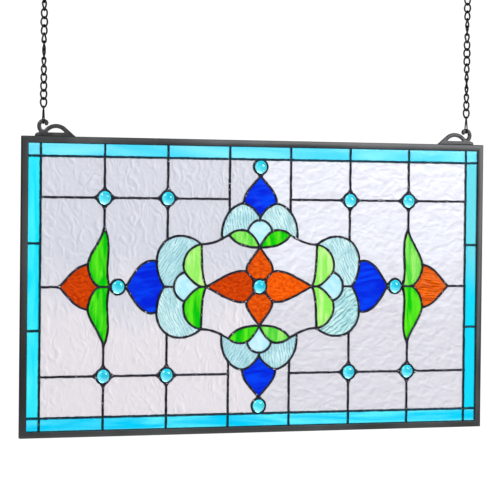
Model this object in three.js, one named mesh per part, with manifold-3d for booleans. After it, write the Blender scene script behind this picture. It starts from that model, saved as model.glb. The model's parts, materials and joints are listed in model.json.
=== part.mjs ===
// A framed stained glass panel that hangs from two chains.
//
// Millimetres, +Z up, +X to the viewer's right, the front towards -Y. The origin is where two hooks
// hold the chains' end rings, above the middle of the panel. The pattern is drawn in the panel's own
// plane, as [x, z] from the panel's centre, in its upper right quarter, and mirrored into the others.

import * as THREE from 'three';
import { mergeVertices } from 'three/addons/utils/BufferGeometryUtils.js';
import Module from 'manifold-3d';

// ---------------------------------------------------------------- driving dimensions

const panel = { halfWidth: 305, halfHeight: 178 };
const frame = { face: 7.3, depth: 6.8, lip: 1.6, web: 1.7 };
const glassThickness = 3;
const solder = { halfWidth: 1.55, thickness: 5.6 };
const gap = 0.3;

const border = { x: 281.35, z: 154.75 };
const columns = [40.4, 120.8, 201.4];
const row = 106.2;
const crossbar = 51.6;

const nugget = { radius: 8.05, ring: 8.9, back: 1.2, front: -4.9, sides: 10 };
const sideNuggetX = 183.7;
const topNuggetZ = 145.7;

const curveSteps = 3;
const seamMargin = 4.5;

const hanger = { thickness: 4, eyeX: { left: -279.3, right: 282.3 } };
const chain = {
  wire: 1.6, width: 8.3, pitch: 9.5, links: 17, firstContact: 212.4, bite: 0.4, twist: 70,
};
const connectingLink = { width: 9, drop: 1.3 };
const chainFromEye = 0.8;
const endRing = { inner: 16, wire: 2.4 };
const hookHeight = chain.firstContact + chain.links * chain.pitch + endRing.inner;

// ---------------------------------------------------------------- plane geometry

/** Points of a cubic curve from a to d, pulled towards b and c. */
function bend(a, b, c, d, steps = curveSteps) {
  const [p, q, r, s] = [a, b, c, d].map(([x, z]) => new THREE.Vector2(x, z));
  return new THREE.CubicBezierCurve(p, q, r, s).getPoints(steps).map(({ x, y }) => [x, y]);
}

/** Points of a circular arc, angles in degrees from +X towards +Z. */
function arc([x, z], radius, from, to, steps) {
  return Array.from({ length: steps + 1 }, (_, i) => {
    const angle = THREE.MathUtils.degToRad(from + ((to - from) * i) / steps);
    return [x + radius * Math.cos(angle), z + radius * Math.sin(angle)];
  });
}

/** One closed run of points from several, without the points that repeat where they meet. */
function path(...runs) {
  const points = runs.flat();
  return points.filter(([x, z], i) => {
    const [lastX, lastZ] = points.at(i - 1);
    return Math.hypot(x - lastX, z - lastZ) > 0.01;
  });
}

const back = (points) => [...points].reverse();
const flip = (points, signX, signZ) => points.map(([x, z]) => [signX * x, signZ * z]);
const acrossX = (points) => path(points, back(flip(points, 1, -1)));
const acrossZ = (points) => path(points, back(flip(points, -1, 1)));

/** The points in counter-clockwise order. */
function counterClockwise(points) {
  const outline = points.map(([x, z]) => new THREE.Vector2(x, z));
  return THREE.ShapeUtils.area(outline) > 0 ? points : back(points);
}

/** Where two lines cross, or the second line's own point where they run along each other. */
function crossing(first, second) {
  const turn = first.dx * second.dz - first.dz * second.dx;
  if (Math.abs(turn) < 0.02) return [second.x, second.z];
  const along = ((second.x - first.x) * second.dz - (second.z - first.z) * second.dx) / turn;
  return [first.x + along * first.dx, first.z + along * first.dz];
}

/** A closed outline moved inwards by a distance. Edges that shrink to nothing drop out. */
function inset(points, distance) {
  const loop = counterClockwise(points);
  let lines = loop.map(([x, z], i) => {
    const [nextX, nextZ] = loop[(i + 1) % loop.length];
    const length = Math.hypot(nextX - x, nextZ - z);
    const dx = (nextX - x) / length;
    const dz = (nextZ - z) / length;
    return { x: x - dz * distance, z: z + dx * distance, dx, dz };
  });
  for (;;) {
    const corners = lines.map((line, i) => crossing(lines.at(i - 1), line));
    const kept = lines.filter((line, i) => {
      const [x, z] = corners[i];
      const [nextX, nextZ] = corners[(i + 1) % corners.length];
      return (nextX - x) * line.dx + (nextZ - z) * line.dz > 0.02;
    });
    if (kept.length === lines.length) return corners;
    lines = kept;
  }
}

/** A run of points without its first stretch. */
function withoutStart(run, distance) {
  const [[x, z], [nextX, nextZ]] = run;
  const length = Math.hypot(nextX - x, nextZ - z);
  if (length <= distance) return withoutStart(run.slice(1), distance - length);
  const part = distance / length;
  return [[x + (nextX - x) * part, z + (nextZ - z) * part], ...run.slice(1)];
}

const trimmed = (run, distance) => back(withoutStart(back(withoutStart(run, distance)), distance));

/** The outline of a strip along a run of points. */
function ribbon(run, halfWidth) {
  const sides = run.map(([x, z], i) => {
    const [fromX, fromZ] = run[Math.max(i - 1, 0)];
    const [toX, toZ] = run[Math.min(i + 1, run.length - 1)];
    const scale = halfWidth / Math.hypot(toX - fromX, toZ - fromZ);
    return { x, z, u: (fromZ - toZ) * scale, v: (toX - fromX) * scale };
  });
  const left = sides.map(({ x, z, u, v }) => [x + u, z + v]);
  const right = sides.map(({ x, z, u, v }) => [x - u, z - v]);
  return [...left, ...back(right)];
}

// ---------------------------------------------------------------- the pattern's lines

// Points where lines meet.
const shoulder = [17, 18];
const petalSideTip = [70, 0];
const petalTopTip = [0, 47.8];
const leafTop = [76.8, 51.2];
const leafOnSeed = [98.4, 17.6];
const leafFork = [78, 0];
const seedEnd = [112, 0];
const aquaFoot = [124.5, 0];
const aquaOnBud = [134.3, 30.6];
const aquaOnColumn = [120.8, 56.6];
const budTip = [173, 0];
const outerLeafFoot = [194, 0];
const outerLeafTip = [201.4, 70.5];
const outerLeafOnBud = [221.8, 27];
const outerBudFoot = [207.5, 0];
const outerBudTip = [257.5, 0];
const topLeafOnSeed = [16, 67.3];
const topLeafTip = [40.5, 62.8];
const topSeedEnd = [0, 80.8];
const topAquaFoot = [0, 84.5];
const topAquaOnBud = [22, 101.3];
const topAquaOnColumn = [40.4, 91];
const topAquaEnd = [49.8, 58.3];
const topBudTip = [0, 134.8];

// Lines between those points.
const petalSideEdge = bend(shoulder, [31, 22], [46, 12.5], petalSideTip);
const petalTopEdge = bend(shoulder, [19.5, 26], [8.5, 36], petalTopTip);
const leafInnerEdge = bend(petalSideTip, [77, 12], [75.5, 33], leafTop);
const leafOuterUpper = bend(leafTop, [93, 49.5], [103.6, 33], leafOnSeed);
const leafOuterLower = bend(leafOnSeed, [94.3, 13], [88.5, 5.2], leafFork, 2);
const seedArc = bend(leafOnSeed, [106.4, 15.4], [112, 8.3], seedEnd);
const aquaBudEdge = bend(aquaFoot, [130, 8], [134.3, 18], aquaOnBud);
const aquaOuterLower = bend(aquaOnBud, [134.5, 41], [129.5, 51], aquaOnColumn);
const aquaOuterUpper = bend(aquaOnColumn, [109.9, 63.6], [91, 63.5], leafTop);
const budEdge = bend(aquaOnBud, [149, 35.5], [161.5, 22], budTip);
const outerLeafInner = bend(outerLeafFoot, [203, 22], [189, 48], outerLeafTip, 4);
const outerLeafUpper = bend(outerLeafTip, [204.5, 56], [219.5, 41], outerLeafOnBud);
const outerLeafLower = bend(outerLeafOnBud, [221.5, 17], [217, 5], outerBudFoot, 2);
const outerBudEdge = bend(outerBudTip, [247, 10], [239, 24], outerLeafOnBud);
const topLeafLower = bend(petalTopTip, [14, 47.3], [31, 49.5], topLeafTip);
const topLeafSeedEdge = bend(petalTopTip, [3.5, 55], [9, 63], topLeafOnSeed, 2);
const topLeafUpper = bend(topLeafOnSeed, [23, 70.5], [35, 68.5], topLeafTip, 2);
const topSeedArc = bend(topLeafOnSeed, [14.7, 75.1], [7.9, 80.8], topSeedEnd);
const topAquaBudEdge = bend(topAquaFoot, [4.5, 91], [11.5, 99], topAquaOnBud);
const topAquaOuter = bend(topAquaOnBud, [29, 100.5], [36, 96], topAquaOnColumn, 2);
const topAquaSide = bend(topAquaOnColumn, [46.5, 84], [51.5, 72], topAquaEnd);
const topBudEdge = bend(topAquaOnBud, [22, 115], [9, 124], topBudTip);
const medallionEdge = bend(topAquaEnd, [57, 54], [67, 51.5], leafTop);

/** A stretch of the solder ring round a nugget. */
const ringArc = (centre, from, to, steps) => arc(centre, nugget.ring, from, to, steps);

const innerCrossing = [columns[1], row];
const outerCrossing = [columns[2], row];

// ---------------------------------------------------------------- outlines of the glass

/** Coloured glass that lies across the panel's level axis, at its right side. */
const sidePieces = {
  petal: acrossX(path(ringArc([0, 0], 0, 45, 2), petalSideEdge)),
  seed: acrossX(path(back(leafOuterLower), seedArc)),
  bud: acrossX(path(aquaBudEdge, budEdge)),
  outer_bud: acrossX(path(back(outerLeafLower), back(outerBudEdge))),
};

/** Coloured glass that lies across the upright axis, at the top. */
const topPieces = {
  petal: acrossZ(path(ringArc([0, 0], 90, 45, 2), petalTopEdge)),
  seed: acrossZ(path(topLeafSeedEdge, topSeedArc)),
  bud: acrossZ(path(topAquaBudEdge, topBudEdge)),
};

/** Coloured glass with a mirrored twin in every quarter. */
const quarterPieces = {
  side_leaf: path(leafInnerEdge, leafOuterUpper, leafOuterLower),
  side_shell: path(aquaBudEdge, aquaOuterLower, aquaOuterUpper, leafOuterUpper, seedArc),
  outer_leaf: path(outerLeafInner, outerLeafUpper, outerLeafLower),
  top_leaf: path(topLeafLower, back(topLeafUpper), back(topLeafSeedEdge)),
  top_shell: path(
    topAquaBudEdge, topAquaOuter, topAquaSide, back(topLeafUpper), topSeedArc,
  ),
};

/** Clear panes of the upper right quarter. */
const clearPanes = [
  path([[columns[2], border.z], [border.x, border.z], [border.x, row]], ringArc(outerCrossing, 0, 90, 2)),
  path(
    [[columns[1], border.z], [columns[2], border.z]],
    ringArc(outerCrossing, 90, 180, 2), ringArc(innerCrossing, 0, 90, 2),
  ),
  path(
    [[columns[0], border.z], [columns[1], border.z]],
    ringArc(innerCrossing, 90, 180, 2), [[columns[0], row]],
  ),
  path(
    [[border.x, row], [border.x, 0], outerBudTip], outerBudEdge, back(outerLeafUpper),
    ringArc(outerCrossing, 270, 360, 2),
  ),
  path(
    ringArc(innerCrossing, 360, 270, 2), back(aquaOuterLower), budEdge.slice(0, -1),
    ringArc([sideNuggetX, 0], 155, 25, 3), outerLeafInner.slice(1), ringArc(outerCrossing, 270, 180, 2),
  ),
  path(
    [[columns[0], row]], ringArc(innerCrossing, 180, 270, 2), aquaOuterUpper,
    back(medallionEdge), back(topAquaSide),
  ),
  path(
    [[columns[0], border.z], topAquaOnColumn], back(topAquaOuter), topBudEdge.slice(0, -1),
    ringArc([0, topNuggetZ], -60, 50, 3), [[7.5, border.z]],
  ),
  path(petalSideEdge, leafInnerEdge, back(medallionEdge), back(topLeafLower), back(petalTopEdge)),
];

/** Seams of the upper right quarter where the clear panes are joined through the solder. */
const clearSeams = [
  [topAquaOnColumn, [columns[0], row]],
  [[columns[0], row], [columns[1] - nugget.ring, row]],
  [[columns[1] + nugget.ring, row], [columns[2] - nugget.ring, row]],
  [[columns[2] + nugget.ring, row], [border.x, row]],
  [aquaOnColumn, [columns[1], row - nugget.ring]],
  [outerLeafTip, [columns[2], row - nugget.ring]],
  medallionEdge,
];
const levelSeam = [outerBudTip, [border.x, 0]];

// ---------------------------------------------------------------- solids

const wasm = await Module();
wasm.setup();

/** The solid for a closed geometry. */
function toSolid(geometry) {
  const plain = geometry.clone();
  plain.deleteAttribute('normal');
  plain.deleteAttribute('uv');
  const merged = mergeVertices(plain, 0.001);
  const vertProperties = Float32Array.from(merged.attributes.position.array);
  const triVerts = Uint32Array.from(merged.index.array);
  return new wasm.Manifold(new wasm.Mesh({ numProp: 3, vertProperties, triVerts }));
}

/** The geometry of a solid. */
function toGeometry(solid) {
  const { vertProperties, triVerts } = solid.getMesh();
  const geometry = new THREE.BufferGeometry();
  geometry.setAttribute('position', new THREE.BufferAttribute(vertProperties, 3));
  geometry.setIndex(new THREE.BufferAttribute(triVerts, 1));
  geometry.computeVertexNormals();
  return geometry;
}

/** An upright plate of an outline, centred on y = 0. */
function plate(outline, thickness) {
  const shape = new THREE.Shape(outline.map(([x, z]) => new THREE.Vector2(x, z)));
  const geometry = new THREE.ExtrudeGeometry(shape, { depth: thickness, bevelEnabled: false });
  geometry.rotateX(Math.PI / 2);
  geometry.translate(0, thickness / 2, 0);
  return geometry;
}

/** A box from its middle and its size. */
function box([x, z], [sizeX, sizeY, sizeZ]) {
  return new THREE.BoxGeometry(sizeX, sizeY, sizeZ).translate(x, 0, z);
}

const joined = (geometries) => geometries.map(toSolid).reduce((whole, solid) => whole.add(solid));
const quarters = [[1, 1], [-1, 1], [1, -1], [-1, -1]];
const inEveryQuarter = (outlines) => quarters.flatMap(
  ([signX, signZ]) => outlines.map((outline) => flip(outline, signX, signZ)),
);

// ---------------------------------------------------------------- the frame and the border

/** The channel that goes round the panel, open towards the glass. */
function frameSolid() {
  const size = (shrink, depth) => [
    2 * (panel.halfWidth - shrink), depth, 2 * (panel.halfHeight - shrink),
  ];
  const outside = toSolid(box([0, 0], size(0, frame.depth)));
  const opening = toSolid(box([0, 0], size(frame.face, 2 * frame.depth)));
  const groove = toSolid(box([0, 0], size(frame.web, frame.depth - 2 * frame.lip)));
  return outside.subtract(opening).subtract(groove);
}

const glassEdge = { x: panel.halfWidth - frame.web - gap, z: panel.halfHeight - frame.web - gap };
const beyondSolder = solder.halfWidth + gap;

/** The border glass above the panel, its tiles and both corners joined edge to edge. */
function levelBorder(extra = 0) {
  const low = border.z + beyondSolder;
  const size = [2 * glassEdge.x, glassThickness + extra, glassEdge.z - low + extra];
  return box([0, (low + glassEdge.z) / 2], size);
}

/** The border glass at the right side, its tiles joined edge to edge. */
function uprightBorder(extra = 0) {
  const low = border.x + beyondSolder;
  const size = [glassEdge.x - low + extra, glassThickness + extra, 2 * (border.z - beyondSolder) + extra];
  return box([(low + glassEdge.x) / 2, 0], size);
}

// ---------------------------------------------------------------- the solder

const nuggetCentres = {
  gem_centre: [0, 0],
  gem_left: [-sideNuggetX, 0],
  gem_right: [sideNuggetX, 0],
  gem_top: [0, topNuggetZ],
  gem_bottom: [0, -topNuggetZ],
  gem_upper_left_outer: [-columns[2], row],
  gem_upper_left_inner: [-columns[1], row],
  gem_upper_right_inner: [columns[1], row],
  gem_upper_right_outer: [columns[2], row],
  gem_lower_left_outer: [-columns[2], -row],
  gem_lower_left_inner: [-columns[1], -row],
  gem_lower_right_inner: [columns[1], -row],
  gem_lower_right_outer: [columns[2], -row],
};

const mirroredX = (outlines) => outlines.flatMap((outline) => [outline, flip(outline, -1, 1)]);
const mirroredZ = (outlines) => outlines.flatMap((outline) => [outline, flip(outline, 1, -1)]);

/** Every opening in the solder that a cut piece of glass fills. */
const glassOutlines = [
  ...mirroredX(Object.values(sidePieces)),
  ...mirroredZ(Object.values(topPieces)),
  ...inEveryQuarter(Object.values(quarterPieces)),
  ...inEveryQuarter(clearPanes),
];

/** Bars of solder between the tiles of the border, from the border's line to the frame. */
function borderBars() {
  const inner = { x: panel.halfWidth - frame.face - gap, z: panel.halfHeight - frame.face - gap };
  const width = 2 * solder.halfWidth;
  const overlap = 1;
  const tall = inner.z - border.z + overlap;
  const wide = inner.x - border.x + overlap;
  const uprights = [...columns, border.x].flatMap((x) => quarters.map(([signX, signZ]) => box(
    [signX * x, signZ * (inner.z - tall / 2)], [width, solder.thickness, tall],
  )));
  const levels = [crossbar, border.z].flatMap((z) => quarters.map(([signX, signZ]) => box(
    [signX * (inner.x - wide / 2), signZ * z], [wide, solder.thickness, width],
  )));
  return joined([...uprights, ...levels]);
}

/** The strips of clear glass that pass through the seams between clear panes. */
function seamStrips(run, fit) {
  const strip = trimmed(run, seamMargin + fit.ends);
  return plate(ribbon(strip, fit.halfWidth), fit.thickness);
}

const stripFit = { ends: gap, halfWidth: beyondSolder + 0.8, thickness: glassThickness };
const slotFit = { ends: 0, halfWidth: solder.halfWidth + 0.5, thickness: glassThickness + 2 * gap };

/** The whole network of seams, bedded round every piece of glass. */
function solderSolid() {
  const rimX = border.x + solder.halfWidth;
  const rimZ = border.z + solder.halfWidth;
  const rim = [[-rimX, -rimZ], [rimX, -rimZ], [rimX, rimZ], [-rimX, rimZ]];
  const holes = [
    ...glassOutlines.map((outline) => inset(outline, solder.halfWidth)),
    ...Object.values(nuggetCentres).map(
      (centre) => arc(centre, nugget.radius + gap, 90, 450, nugget.sides).slice(1),
    ),
  ];
  const cuts = joined(holes.map((hole) => plate(hole, 2 * solder.thickness)));
  const net = toSolid(plate(rim, solder.thickness)).subtract(cuts).add(borderBars());
  const level = toSolid(levelBorder(2 * gap));
  const upright = toSolid(uprightBorder(2 * gap));
  const seams = [...inEveryQuarter(clearSeams), levelSeam, flip(levelSeam, -1, 1)];
  const slots = joined(seams.map((seam) => seamStrips(seam, slotFit)));
  return net
    .subtract(level).subtract(level.rotate([0, 180, 0]))
    .subtract(upright).subtract(upright.rotate([0, 180, 0]))
    .subtract(slots);
}

// ---------------------------------------------------------------- the glass

const glassPlate = (outline) => plate(inset(outline, beyondSolder), glassThickness);

/** The clear panes of the right half, joined edge to edge where clear glass meets clear glass. */
function clearGlass(side) {
  const bothQuarters = (outlines) => outlines.flatMap(
    (outline) => [flip(outline, side, 1), flip(outline, side, -1)],
  );
  const panes = bothQuarters(clearPanes).map(glassPlate);
  const seams = [...bothQuarters(clearSeams), flip(levelSeam, side, 1)];
  return joined([...panes, ...seams.map((seam) => seamStrips(seam, stripFit))]);
}

/** A round nugget: flat behind, domed in front. */
function nuggetGeometry([x, z]) {
  const { radius, back: flat, front, sides } = nugget;
  const profile = [[0, front], [0.55 * radius, 0.85 * front], [radius, -0.6], [0.8 * radius, flat], [0, flat]];
  const points = profile.map(([r, y]) => new THREE.Vector2(r, y));
  return new THREE.LatheGeometry(points, sides).translate(x, 0, z);
}

// ---------------------------------------------------------------- the hangers

// Drawn as [u, w]: u from the eye towards the panel's middle, w up from the frame's top edge.
const hangerShape = {
  base: { outer: -9.2, inner: 31.5, toe: 40.3, height: 4.4 },
  arch: { centre: [16.65, -4.45], radius: 16.45, halfWidth: 2.3, from: 158, to: 38 },
  curl: { centre: [0.1, 12.3], radius: 5.3, halfWidth: 1.95, from: 240, to: 25 },
  tip: { centre: [4.4, 13.4], radius: 2.2 },
  nub: { centre: [0.9, 6.2], radius: 2 },
};

/** A cast hanger: a base along the frame, an arch over it and a curl that holds the chain. */
function hangerSolid(side) {
  const { base, arch, curl, tip, nub } = hangerShape;
  const outlines = [
    path(
      [[base.toe, gap], [base.inner, base.height]],
      bend([-5, base.height], [-7.5, 3.8], [-8.8, 2.4], [base.outer, gap], 3),
    ),
    ribbon(arc(arch.centre, arch.radius, arch.from, arch.to, 7), arch.halfWidth),
    [[base.toe, gap], [base.toe - 8, gap], [26, 9.1], [29.8, 9]],
    ribbon(arc(curl.centre, curl.radius, curl.from, curl.to, 9), curl.halfWidth),
    arc(tip.centre, tip.radius, 0, 360, 6).slice(1),
    arc(nub.centre, nub.radius, 0, 360, 6).slice(1),
    [[-4, 3], [5, 3], [3.4, 7.2], [0, 6.4], [-3, 7.4]],
  ];
  const inPlace = (outline) => outline.map(
    ([u, w]) => [hanger.eyeX[side] + (side === 'left' ? u : -u), panel.halfHeight + w],
  );
  return joined(outlines.map((outline) => plate(inPlace(outline), hanger.thickness)));
}

// ---------------------------------------------------------------- the chains

const upAxis = new THREE.Vector3(0, 0, 1);

/**
 * A link of square wire with level ends, round the point (x, 0, z). It lies across Y, then it is
 * turned about Z, and its upper end is turned back from the lower end by the twist.
 */
function linkGeometry([x, z], { width, inner, wire, sides = 6, turn = 0, twist = 0 }) {
  const corner = 0.6 * wire;
  const level = sides % 4 === 0 ? Math.PI / sides : 0;
  const bendRadius = width / 2 / Math.cos(level) - corner;
  const stretch = inner / 2 - (bendRadius - corner) * Math.cos(Math.PI / sides);
  const geometry = new THREE.TorusGeometry(bendRadius, corner, 4, sides);
  geometry.rotateZ(level).rotateX(Math.PI / 2);
  const { position } = geometry.attributes;
  for (let i = 0; i < position.count; i += 1) {
    const point = new THREE.Vector3().fromBufferAttribute(position, i);
    const end = Math.sign(Math.round(point.z));
    point.z += end * stretch;
    point.applyAxisAngle(upAxis, THREE.MathUtils.degToRad(turn - (end * twist) / 2));
    position.setXYZ(i, point.x + x, point.y, point.z + z);
  }
  return geometry;
}

/** How far a chain has turned at a link, counted from the lowest, in degrees. */
const chainTurn = {
  left: (count) => 1.7 * count + 1.41 * count ** 2,
  right: (count) => 16 * (count - 0.5) + 0.6 * (count - 0.5) ** 2,
};

/** A chain from the hanger's curl to its end ring. Each link bites into the next. */
function chainSolid(side) {
  const { wire, width, pitch, links, firstContact, bite, twist } = chain;
  const x = hanger.eyeX[side] + (side === 'left' ? chainFromEye : -chainFromEye);
  const { curl } = hangerShape;
  const underCurl = panel.halfHeight + curl.centre[1] + curl.radius - curl.halfWidth;
  const foot = underCurl - connectingLink.drop;
  const connecting = linkGeometry([x, (foot + firstContact) / 2], {
    width: connectingLink.width, wire, inner: firstContact - foot, sides: 8, turn: 90,
  });
  const twisted = Array.from({ length: links }, (_, count) => linkGeometry(
    [x, firstContact + (count + 0.5) * pitch],
    { width, wire, inner: pitch - bite, turn: chainTurn[side](count), twist },
  ));
  const { inner } = endRing;
  const ring = linkGeometry([x, hookHeight - inner / 2], {
    width: inner + 2.4 * endRing.wire, inner, wire: endRing.wire, sides: 10,
  });
  return joined([connecting, ...twisted, ring]);
}

// ---------------------------------------------------------------- the object

const finish = (color, roughness, metalness = 0) => new THREE.MeshStandardMaterial({
  color, roughness, metalness,
});
const finishes = {
  zinc: () => finish(0x45464a, 0.45, 0.8),
  solder: () => finish(0x20202a, 0.4, 0.7),
  castMetal: () => finish(0x3c3c3e, 0.5, 0.8),
  chain: () => finish(0x202022, 0.45, 0.8),
  cyan: () => finish(0x3fdcf5, 0.15),
  clear: () => finish(0xe3e0ec, 0.2),
  orange: () => finish(0xdf5206, 0.2),
  green: () => finish(0x4fd824, 0.2),
  seed: () => finish(0xc8f4f6, 0.15),
  shell: () => finish(0xbde8e8, 0.25),
  blue: () => finish(0x0630ee, 0.15),
  nugget: () => finish(0x4bc8da, 0.08),
};

const part = new THREE.Group();
const drop = new THREE.Group();
drop.position.z = -hookHeight;
part.add(drop);

/** Adds one named piece, hung at its place under the hooks. */
function add(name, geometry, material) {
  const mesh = new THREE.Mesh(geometry, material);
  mesh.name = name;
  drop.add(mesh);
}

const pieceFinish = {
  petal: finishes.orange,
  seed: finishes.seed,
  bud: finishes.blue,
  outer_bud: finishes.orange,
  side_leaf: finishes.green,
  side_shell: finishes.shell,
  outer_leaf: finishes.green,
  top_leaf: finishes.green,
  top_shell: finishes.shell,
};

add('frame', toGeometry(frameSolid()), finishes.zinc());
add('solder_lines', toGeometry(solderSolid()), finishes.solder());
add('border_top', levelBorder(), finishes.cyan());
add('border_bottom', levelBorder().rotateY(Math.PI), finishes.cyan());
add('border_right', uprightBorder(), finishes.cyan());
add('border_left', uprightBorder().rotateY(Math.PI), finishes.cyan());
add('clear_glass_left', toGeometry(clearGlass(-1)), finishes.clear());
add('clear_glass_right', toGeometry(clearGlass(1)), finishes.clear());

for (const [piece, outline] of Object.entries(sidePieces)) {
  for (const [side, sign] of [['left', -1], ['right', 1]]) {
    add(`${piece}_${side}`, glassPlate(flip(outline, sign, 1)), pieceFinish[piece]());
  }
}
for (const [piece, outline] of Object.entries(topPieces)) {
  for (const [side, sign] of [['top', 1], ['bottom', -1]]) {
    add(`${piece}_${side}`, glassPlate(flip(outline, 1, sign)), pieceFinish[piece]());
  }
}
for (const [piece, outline] of Object.entries(quarterPieces)) {
  for (const [signX, signZ] of quarters) {
    const place = `${signZ > 0 ? 'upper' : 'lower'}_${signX > 0 ? 'right' : 'left'}`;
    add(`${piece}_${place}`, glassPlate(flip(outline, signX, signZ)), pieceFinish[piece]());
  }
}
for (const [name, centre] of Object.entries(nuggetCentres)) {
  add(name, nuggetGeometry(centre), finishes.nugget());
}
for (const side of ['left', 'right']) {
  add(`hanger_${side}`, toGeometry(hangerSolid(side)), finishes.castMetal());
  add(`chain_${side}`, toGeometry(chainSolid(side)), finishes.chain());
}

export default part;
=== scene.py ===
"""Dresses a framed stained glass panel that hangs from two chains.

The pattern is drawn in millimetres as (x, z) from the panel's middle, in its upper right
quarter, and is mirrored into the others. The front faces -Y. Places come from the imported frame.
"""

from __future__ import annotations

import json
import logging
import math
from collections.abc import Callable, Iterable
from dataclasses import dataclass
from enum import Enum

import bmesh
import bpy
import numpy as np
from mathutils import Matrix, Vector, noise
from mathutils.geometry import delaunay_2d_cdt

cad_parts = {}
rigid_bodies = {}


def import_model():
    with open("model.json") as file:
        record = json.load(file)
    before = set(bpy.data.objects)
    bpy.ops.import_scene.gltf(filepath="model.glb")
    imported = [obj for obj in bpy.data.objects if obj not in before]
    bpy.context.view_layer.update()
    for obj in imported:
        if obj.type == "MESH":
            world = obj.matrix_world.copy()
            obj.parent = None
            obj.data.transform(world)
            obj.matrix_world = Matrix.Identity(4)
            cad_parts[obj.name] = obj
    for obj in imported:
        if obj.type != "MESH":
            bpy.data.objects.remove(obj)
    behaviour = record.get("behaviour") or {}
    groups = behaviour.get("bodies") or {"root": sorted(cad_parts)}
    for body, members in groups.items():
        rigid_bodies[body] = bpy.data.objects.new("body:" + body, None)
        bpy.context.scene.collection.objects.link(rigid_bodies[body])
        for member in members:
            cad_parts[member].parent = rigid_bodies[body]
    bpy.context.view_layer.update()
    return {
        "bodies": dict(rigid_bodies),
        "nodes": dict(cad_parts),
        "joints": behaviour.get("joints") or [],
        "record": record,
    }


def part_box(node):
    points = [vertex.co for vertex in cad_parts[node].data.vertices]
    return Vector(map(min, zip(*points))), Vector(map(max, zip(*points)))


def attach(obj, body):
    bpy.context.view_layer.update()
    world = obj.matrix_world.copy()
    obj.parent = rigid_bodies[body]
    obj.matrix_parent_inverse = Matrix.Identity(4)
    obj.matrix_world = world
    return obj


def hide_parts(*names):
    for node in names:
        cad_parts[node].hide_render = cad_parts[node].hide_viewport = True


MM = 0.001
log = logging.getLogger("panel")

# A place on the panel's drawing, a run of them, and three numbers: a colour, or a place or scale.
Point = tuple[float, float]
Line = list[Point]
Colour = tuple[float, float, float]

# Millimetres below which two points are one, and a side of an outline has shrunk away.
SAME_POINT = 0.01
SHORTEST_SIDE = 0.02
# The sine of the turn below which two sides run straight on.
STRAIGHT_ON = 0.02


# ------------------------------------------------------------------ plane geometry


def bend(a: Point, b: Point, c: Point, d: Point, steps: int = 14) -> Line:
    """Points of a cubic curve.

    Args:
        a: Where it starts.
        b: What its start is pulled towards.
        c: What its end is pulled towards.
        d: Where it ends.
        steps: How many stretches it is cut into.

    Returns:
        The points from a to d.
    """
    corners = [Vector(p) for p in (a, b, c, d)]
    points = []
    for i in range(steps + 1):
        t = i / steps
        weights = ((1 - t) ** 3, 3 * t * (1 - t) ** 2, 3 * t * t * (1 - t), t**3)
        place = sum((w * p for w, p in zip(weights, corners)), Vector((0, 0)))
        points.append((place.x, place.y))
    return points


def arc(centre: Point, radius: float, start: float, end: float, steps: int) -> Line:
    """Points of a circular arc.

    Args:
        centre: The middle of the circle.
        radius: Its radius.
        start: The first angle, in degrees from +X towards +Z.
        end: The last angle.
        steps: How many stretches it is cut into.

    Returns:
        The points from the first angle to the last.
    """
    angles = (math.radians(start + (end - start) * i / steps) for i in range(steps + 1))
    return [(centre[0] + radius * math.cos(t), centre[1] + radius * math.sin(t)) for t in angles]


def path(*runs: Line) -> Line:
    """Joins runs of points into one closed outline, without the points that repeat."""
    points = [p for run in runs for p in run]
    return [p for i, p in enumerate(points) if math.dist(p, points[i - 1]) > SAME_POINT]


def back(line: Line) -> Line:
    """The same points from last to first."""
    return line[::-1]


def flip(line: Line, sign_x: int, sign_z: int) -> Line:
    """Mirrors points across the panel's axes."""
    return [(sign_x * x, sign_z * z) for x, z in line]


def across_level(line: Line) -> Line:
    """Closes an outline with its own mirror image below the level axis."""
    return path(line, back(flip(line, 1, -1)))


def across_upright(line: Line) -> Line:
    """Closes an outline with its own mirror image left of the upright axis."""
    return path(line, back(flip(line, -1, 1)))


def signed_area(outline: Line) -> float:
    """The area inside an outline, positive where it runs counter-clockwise."""
    turns = zip(outline, outline[1:] + outline[:1])
    return sum(x * next_z - next_x * z for (x, z), (next_x, next_z) in turns) / 2


def inset(outline: Line, distance: float) -> Line:
    """Moves a closed outline inwards.

    Args:
        outline: The corners of the outline.
        distance: How far inwards it goes.

    Returns:
        The corners of the smaller outline, counter-clockwise. Sides that shrink away are left out.
    """
    loop = [Vector(p) for p in (outline if signed_area(outline) > 0 else back(outline))]
    sides = []
    for place, following in zip(loop, loop[1:] + loop[:1]):
        along = (following - place).normalized()
        sides.append((place + distance * Vector((-along.y, along.x)), along))
    while True:
        corners = []
        for (start, along), (here, here_along) in zip(sides[-1:] + sides[:-1], sides):
            turn = along.cross(here_along)
            straight = abs(turn) < STRAIGHT_ON
            step = 0.0 if straight else (here - start).cross(here_along) / turn
            corners.append(start + step * along if step else here)
        following = corners[1:] + corners[:1]
        kept = [
            side
            for side, near, far in zip(sides, corners, following)
            if (far - near).dot(side[1]) > SHORTEST_SIDE
        ]
        if len(kept) == len(sides):
            return [(corner.x, corner.y) for corner in corners]
        sides = kept


def respaced(line: Line, spacing: float, closed: bool = False) -> Line:
    """Points evenly spaced along a line.

    Args:
        line: The points of the line.
        spacing: The distance from one new point to the next, at most.
        closed: Whether the line runs back to its start.

    Returns:
        The new points. A closed line doesn't repeat its first point.
    """
    points = [Vector(p) for p in (line + line[:1] if closed else line)]
    lengths = [0.0]
    for start, end in zip(points, points[1:]):
        lengths.append(lengths[-1] + (end - start).length)
    count = max(2, math.ceil(lengths[-1] / spacing))
    spaced = []
    stretch = 0
    for i in range(count if closed else count + 1):
        reach = lengths[-1] * i / count
        while stretch < len(points) - 2 and lengths[stretch + 1] < reach:
            stretch += 1
        share = (reach - lengths[stretch]) / (lengths[stretch + 1] - lengths[stretch])
        place = points[stretch].lerp(points[stretch + 1], share)
        spaced.append((place.x, place.y))
    return spaced


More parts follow.
